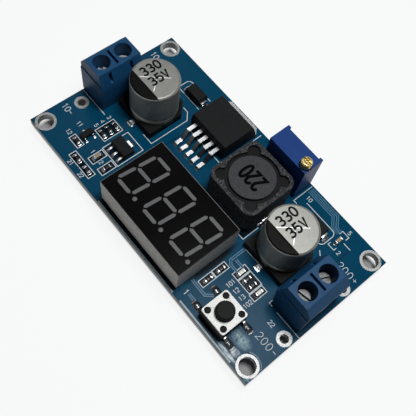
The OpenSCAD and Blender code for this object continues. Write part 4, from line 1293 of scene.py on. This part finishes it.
        # The pale near-edge margin is partly a painted highlight
        margins = Draft().strokes(self.margins, self.margin, self.film)
        margins.piece("board_margin_highlight", MARGIN_AND_HIGHLIGHT, Slot.BOARD)
        for number, (middle, half_x, half_y, finish) in enumerate(self.hazes, 1):
            haze = Draft()
            haze.prism(arc(middle, half_x, half_y, 0.0, 360.0, self.HAZE_STEPS)[:-1], self.film)
            haze.piece(f"board_haze_{number}", finish, Slot.BOARD)
        cuts = Draft().strokes(self.gaps, self.gap, self.film)
        cuts.piece("board_copper_gaps", GAP, Slot.BOARD)
        bare = Draft()
        for rect in self.boxes + self.bare_and_shaded_areas:
            bare.prism(corners(rect), self.film)
        bare.piece("board_bare_and_shaded_areas", BARE_AND_SHADED, Slot.BOARD)
        frames = [corners(rect) for rect in self.boxes + self.frames]
        outlines = Draft().strokes(frames, self.pen, self.ink, closed=True)
        outlines.strokes(self.lines, self.pen, self.ink)
        outlines.piece("board_outlines", WHITE_INK, Slot.BOARD)
        labels = Draft()
        for row in self.rows:
            row.draw(labels, 0.0, self.ink)
        labels.piece("board_labels", WHITE_INK, Slot.BOARD)


@dataclass(frozen=True)
class SegmentMask:
    """Black ink of the display's face: over each segment's edge, and short of the far edges, where
    a pale rim is left that is also a painted highlight.

    Attributes:
        pen: Width of the ink's line along the edge.
        sink: Depth of the ink's underside in the segment.
        film: Thickness of the ink over the segment.
        rim: Width of the pale rim along the far edges, bare and painted as a highlight.
        inset: Distance of the rim's middle from the edge.
        level: Height within which a segment's points belong to its top.
    """

    pen: float = 0.14
    sink: float = 0.03
    film: float = 0.012
    rim: float = 0.2
    inset: float = 0.14
    level: float = 0.001

    def build(self) -> None:
        """Makes the line of ink round each segment and decimal point, and the pale rim with its
        painted highlight.
        """
        draft = Draft()
        for points in solids("display_segments"):
            top = max(p.z for p in points)
            rim = [p for p in points if p.z > top - self.level]
            middle = sum(rim, Vector()) / len(rim)
            rim.sort(key=lambda p: math.atan2(p.y - middle.y, p.x - middle.x))
            path = [(p.x, p.y) for p in rim]
            draft.stroke(path, self.pen, top - self.sink, top + self.film, closed=True)
        draft.piece("display_ink_edges", FINISHES[Slot.DISPLAY_FACE], Slot.DISPLAY_FACE)
        # Pale rim on the far edges only: partly a painted highlight
        bare = Draft()
        low, high = islands("display_housing")[0]
        far_x, far_y = low.x + self.inset, high.y - self.inset
        path = [(far_x, low.y + self.inset), (far_x, far_y), (high.x - self.inset, far_y)]
        bare.stroke(path, self.rim, high.z - self.sink, high.z + self.film / 2)
        bare.piece("display_rim_highlight", BARE_RIM_AND_HIGHLIGHT, Slot.DISPLAY)


@dataclass(frozen=True)
class SnapDome:
    """Sprung disc under the push button, built in its raised shape.

    Attributes:
        sheet: Thickness of the disc.
        rings: Number of rings of faces from the middle to the rim.
        sides: Number of sides of a ring.
        travel: Way that the button pushes the crown down; not used.
    """

    sheet: float = 0.1
    rings: int = 12
    sides: int = 48
    travel: float = 0.25

    def ring(self, draft: Draft, middle: Vector, radius: float, height: float) -> list[int]:
        """Adds the points of one ring and gives their numbers."""
        outline = arc((middle.x, middle.y), radius, radius, 0.0, 360.0, self.sides)[:-1]
        return draft.add((x, y, height) for x, y in outline)

    def build(self) -> None:
        """Makes the disc in the place of the rigid one."""
        draft = Draft()
        low, high = box_of("switch_dome")
        middle = (low + high) / 2
        radius, rise = (high.x - low.x) / 2, high.z - low.z - self.sheet
        upper, under = [], []
        for i in range(1, self.rings + 1):
            share = i / self.rings
            height = low.z + rise * (1.0 - share * share)
            upper.append(self.ring(draft, middle, radius * share, height + self.sheet))
            under.append(self.ring(draft, middle, radius * share, height))
        for outer, inner in zip(upper[1:], upper):
            draft.walls(outer, inner)
        for outer, inner in zip(under[1:], under):
            draft.walls(inner, outer)
        draft.walls(under[-1], upper[-1])
        draft.faces += [tuple(upper[0]), tuple(reversed(under[0]))]
        dome = draft.piece("snap_dome", FINISHES[Slot.PLATED], Slot.PLATED, smooth=True)
        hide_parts("switch_dome")
        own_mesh(dome)


@dataclass(frozen=True)
class CanCapacitor:
    """Print, vent score and solder of a can capacitor.

    Attributes:
        side: Name of the end of the board that it stands at.
        edge: Rounding of the can's top edge.
        chord: Distance of the black mark's straight edge from the can's middle.
        rim: Distance of the black mark's curved edge from the can's wall.
        lift: Height of the print over the can.
        ink: Thickness of the black mark.
        rows: Printed rows, placed from the can's middle.
        scores: Ends of the vent's lines, from the can's middle.
        score: Width of those lines.
        score_lift: Height of those lines over the can.
    """

    MARK_STEPS = (10, 36)
    MARK_SPREAD = 0.7

    side: str
    edge: float = 0.55
    chord: float = 2.38
    rim: float = 0.12
    lift: float = 0.02
    ink: float = 0.016
    rows: tuple[Row, ...] = (
        Row("330", (-1.5, -1.4), 1.85, 1.55, 0.4, Heading.ALONG_Y),
        Row("35V", (1.2, -1.4), 1.85, 1.55, 0.4, Heading.ALONG_Y),
    )
    scores: tuple[Path, ...] = (((-2.05, -2.2), (1.75, 2.5)), ((0.1, 0.4), (2.25, -2.1)))
    score: float = 0.16
    score_lift: float = 0.012

    def crown(self, radius: float, wall: float) -> float:
        """Gives how far a can's rounded edge has dropped at a distance from the can's middle."""
        over = max(0.0, radius - (wall - self.edge))
        return self.edge - math.sqrt(max(0.0, self.edge ** 2 - over ** 2))

    def build(self) -> None:
        """Makes the print, the score and the solder."""
        low, high = box_of(f"{self.side}_capacitor_can")
        middle, top = (low + high) / 2, high.z
        self.mark(middle, (high.x - low.x) / 2, top)
        vent = Draft()
        for path in self.scores:
            line = [(middle.x + x, middle.y + y) for x, y in path]
            vent.stroke(line, self.score, top, top + self.score_lift)
        vent.piece(f"{self.side}_capacitor_score", BRIGHT_SCORE, Slot.CAN)
        rows = Draft()
        for row in self.rows:
            row.draw(rows, top, top + self.lift, middle)
        rows.piece(f"{self.side}_capacitor_digits", BLACK_INK, Slot.CAN)
        Solder(f"{self.side}_capacitor", "leads", "base", reach=0.7, margin=0.35).build()

    def mark(self, middle: Vector, wall: float, top: float) -> None:
        """Makes the black mark on the negative side, which runs onto the rounded edge.

        Args:
            middle: Middle of the can.
            wall: Radius of the can.
            top: Height of the can's top.
        """
        outer = wall - self.rim
        half = math.degrees(math.acos(self.chord / outer))

        def spot(out: float, along: float) -> Place:
            """Gives a point of the mark.

            Args:
                out: Share of the way from the straight edge to the curved one.
                along: Share of the way along the mark.

            Returns:
                The point.
            """
            angle = math.radians(-90.0 - half + 2.0 * half * along)
            inner = self.chord / -math.sin(angle)
            radius = inner + (outer - inner) * out ** self.MARK_SPREAD
            place = (middle.x + radius * math.cos(angle), middle.y + radius * math.sin(angle))
            return (*place, top + self.lift - self.crown(radius, wall))

        draft = Draft()
        draft.skin(grid(*self.MARK_STEPS, spot), lambda height: height - self.ink)
        draft.piece(f"{self.side}_capacitor_mark", BLACK_INK, Slot.CAN, smooth=True)


@dataclass(frozen=True)
class Coil:
    """Digits on the storage inductor's core and solder on its terminals.

    Attributes:
        row: Printed number, placed from the core's middle.
        lift: Height of the print over the core.
    """

    row: Row = Row("220", (2.4, 1.5), 3.2, 1.72, 0.6, Heading.AGAINST_X, 0.62)
    lift: float = 0.015

    def build(self) -> None:
        """Makes the digits and the solder."""
        low, high = box_of("inductor_core")
        draft = Draft()
        self.row.draw(draft, high.z, high.z + self.lift, (low + high) / 2)
        draft.piece("inductor_digits", DARK_INK, Slot.FERRITE)
        Solder("inductor", "terminals", "base", reach=0.8, climb=0.7, margin=0.2).build()


@dataclass(frozen=True)
class SmallParts:
    """Solder on the packages, diodes, chips and push button.

    Attributes:
        joints: Solder of each group.
    """

    joints: tuple[Solder, ...] = (
        # The regulator's and push button's joints take the darker solder: painted shade
        Solder("regulator", "leads", "body", 0.55, 0.9, 0.22, 0.5, finish=SHADED_SOLDER),
        Solder("supply", "leads", "body", 0.45, 0.8, 0.15),
        Solder("transistor", "leads", "body", 0.35, 0.9, 0.14, 0.2),
        Solder("input_diode", "leads", "body", 0.7, 0.5, 0.2),
        Solder("output_diode", "leads", "body", 0.7, 0.5, 0.2),
        Solder("switch", "leads", "base", 0.9, 0.9, 0.42, 0.35, back=1.6, finish=SHADED_SOLDER),
        Solder("resistor", "ends", "bodies", 0.4, 0.8, 0.1),
        Solder("ceramic", "ends", "bodies", 0.45, 0.7, 0.1),
        Solder("indicator", "ends", "bodies", 0.35, 0.6, 0.1),
    )

    def build(self) -> None:
        """Makes the solder of each group."""
        for joint in self.joints:
            joint.build()


@dataclass(frozen=True)
class Lamp:
    """Soft square light that faces the module.

    Attributes:
        name: Name of the light.
        place: Place in metres from the middle of the board's top face.
        size: Side of the light in metres.
        power: Power in watts.
    """

    name: str
    place: Place
    size: float
    power: float

    def build(self) -> None:
        """Adds the light to the scene."""
        data = bpy.data.lights.new(self.name, "AREA")
        data.shape = "SQUARE"
        data.size = self.size
        data.energy = self.power
        made = put(self.name, data)
        made.location = Draft.origin + Vector(self.place)
        made.rotation_euler = (-Vector(self.place)).to_track_quat("-Z", "Y").to_euler()


@dataclass(frozen=True)
class Studio:
    """Pale floor, soft lights and the camera.

    Attributes:
        floor_size: Side of the floor in metres.
        floor_drop: Gap between the module and the floor in millimetres.
        floor_cloud_mm: Width of a cloud on the floor.
        floor_rough: Roughness of the floor.
        floor_gloss: Level of the floor's reflection.
        floor_tones: Darker and paler clouds of the floor.
        painted_floor_shadow: Darker tone painted on the floor under the module as its shadow.
        glow: Share of the floor's own glow round the module.
        glow_tone: Colour of that glow.
        soft_edge: Where the glow starts and is full beyond the board's edge, in millimetres.
        near_edge: Where it is full and ends inside the near edge, in millimetres.
        room: Height and colour of the two ends of the dim room's light.
        horizon: Heights between which the pale horizon fades out.
        horizon_tone: Colour of that horizon.
        lamps: The lights.
        focal_pixels: Focal length in pixels of the photograph's frame.
        centre: Middle of the lens in those pixels.
        clip: Nearest and farthest distance that the camera sees, in metres.
        eye: Place of the camera, in millimetres from the middle of the board's top face.
        ahead: Direction in which it looks.
        right: Direction of the frame's right side.
        down: Direction of the frame's lower side.
    """

    CLOUDS = Clouds()

    floor_size: float = 20.0
    floor_drop: float = 0.02
    floor_cloud_mm: float = 40.0
    floor_rough: float = 0.9
    floor_gloss: float = 0.1
    floor_tones: tuple[Colour, Colour] = ((0.78, 0.78, 0.78), (0.81, 0.81, 0.81))
    painted_floor_shadow: Colour = (0.34, 0.34, 0.34)
    glow: float = 0.9
    glow_tone: Colour = (0.98, 0.985, 0.985)
    soft_edge: Point = (-0.6, 0.4)
    near_edge: Point = (0.15, 0.6)
    room: tuple[tuple[float, Colour], ...] = (
        (0.05, (0.08, 0.08, 0.08)), (0.75, (0.06, 0.06, 0.065)),
    )
    horizon: Point = (0.28, 0.34)
    horizon_tone: Colour = (0.885, 0.89, 0.89)
    lamps: tuple[Lamp, ...] = (
        Lamp("key_light", (0.0155, 0.023, 0.175), 0.05, 0.24),
        Lamp("back_light", (-0.225, 0.135, 0.365), 0.12, 0.16),
    )
    focal_pixels: float = 607.06
    centre: Point = (208.14, 206.35)
    clip: Point = (0.005, 10.0)
    eye: Place = (33.988, -41.477, 105.791)
    ahead: Place = (-0.26261, 0.33931, -0.90327)
    right: Place = (0.63688, 0.76420, 0.10190)
    down: Place = (0.72486, -0.54851, -0.41679)

    def build(self) -> None:
        """Makes the floor, the surroundings, the lights and the camera."""
        self.floor()
        self.surroundings()
        for lamp in self.lamps:
            lamp.build()
        self.camera()

    def floor(self) -> None:
        """Makes the floor, which shows as pale, with a shadow painted under the module and a faint
        real one.
        """
        half = self.floor_size / 2
        mesh = bpy.data.meshes.new("floor")
        outline = [(x, y, 0.0) for x, y in corners((-half, -half, half, half))]
        mesh.from_pydata(outline, [], [(0, 1, 2, 3)])
        made = put("floor", mesh)
        made.location.z = CAD_BOX[0].z - self.floor_drop * MM
        mesh.materials.append(bpy.data.materials.new("pale_floor"))
        graph = Graph(mesh.materials[0])
        cloud = graph.remap(graph.noise(self.floor_cloud_mm, self.CLOUDS), self.CLOUDS.span)
        around = self.around(graph)
        # Painted shadow: the floor's colour darkens under the module
        colour = graph.mix(around, self.painted_floor_shadow, graph.mix(cloud, *self.floor_tones))
        graph.feed(graph.shader, {
            "Base Color": colour, "Roughness": self.floor_rough,
            "Specular IOR Level": self.floor_gloss,
        })
        glow = graph.node("Emission", {"Color": (*self.glow_tone, 1.0)})
        blend = graph.node("MixShader", {
            "Fac": graph.math("MULTIPLY", graph.seen(), around),
            1: graph.shader.outputs["BSDF"], 2: glow.outputs["Emission"],
        })
        graph.feed(graph.tree.nodes["Material Output"], {"Surface": blend.outputs["Shader"]})

    def around(self, graph: Graph) -> Socket:
        """Gives the share of the floor's own glow: full round the module, none under it, where a
        shadow is painted.

        Args:
            graph: Node tree of the floor.

        Returns:
            The share.
        """
        low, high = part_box("circuit_board")
        long, wide = (high.x - low.x) / 2, (high.y - low.y) / 2
        place = graph.node("SeparateXYZ", {"Vector": graph.coords["Object"]}).outputs
        start, end = (edge * MM for edge in self.soft_edge)
        dark, lit = (0.0, self.glow), (self.glow, 0.0)
        share = graph.remap(graph.math("ABSOLUTE", place["X"]), (long + start, long + end), dark)
        far = graph.remap(place["Y"], (wide + start, wide + end), dark)
        near = graph.remap(place["Y"], tuple(edge * MM - wide for edge in self.near_edge), lit)
        for other in (far, near):
            share = graph.math("MAXIMUM", share, other)
        return share

    def surroundings(self) -> None:
        """Makes a dim room whose horizon shows as pale as the floor."""
        world = bpy.data.worlds.new("studio")
        bpy.context.scene.world = world
        graph = Graph(world)
        height = graph.node("SeparateXYZ", {"Vector": graph.coords["Generated"]}).outputs["Z"]
        room = graph.node("ValToRGB", {"Fac": height})
        for element, (position, colour) in zip(room.color_ramp.elements, self.room):
            element.position = position
            element.color = (*colour, 1.0)
        low = graph.remap(height, self.horizon, (1.0, 0.0))
        pale = graph.math("MULTIPLY", graph.seen(), low)
        light = graph.mix(pale, room.outputs["Color"], self.horizon_tone)
        graph.feed(graph.tree.nodes["Background"], {"Color": light})

    def camera(self) -> None:
        """Puts the camera where the photograph was taken from."""
        data = bpy.data.cameras.new("camera")
        data.sensor_width = SENSOR_WIDTH
        data.lens = self.focal_pixels * SENSOR_WIDTH / PHOTO_PIXELS
        data.shift_x = (PHOTO_PIXELS / 2 - self.centre[0]) / PHOTO_PIXELS
        data.shift_y = (self.centre[1] - PHOTO_PIXELS / 2) / PHOTO_PIXELS
        data.clip_start, data.clip_end = self.clip
        made = put("camera", data)
        turn = Matrix((self.right, [-v for v in self.down], [-v for v in self.ahead])).transposed()
        made.matrix_world = Matrix.Translation(Draft.origin + Vector(self.eye) * MM) @ turn.to_4x4()
        bpy.context.scene.camera = made


def dress_frame() -> None:
    """Gives every node of the frame its finish and its rounded edges."""
    for part in frame["record"]["subparts"]:
        node = part["node"]
        DRESSINGS.get(node, Dressing()).dress(node, Slot(part["material_slot"]))


def main() -> None:
    """Builds and dresses the module, then the studio."""
    logging.basicConfig(level=logging.INFO, format="%(name)s: %(message)s")
    low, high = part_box("circuit_board")
    Draft.origin = Vector(((low.x + high.x) / 2, (low.y + high.y) / 2, high.z))
    dress_frame()
    assemblies = [
        BoardPrint(), SegmentMask(), SnapDome(), *(CanCapacitor(side) for side in SIDES), Coil(),
        SmallParts(), Studio(),
    ]
    for assembly in assemblies:
        assembly.build()
    bpy.context.scene.view_settings.view_transform = "Standard"


if __name__ == "__main__":
    main()
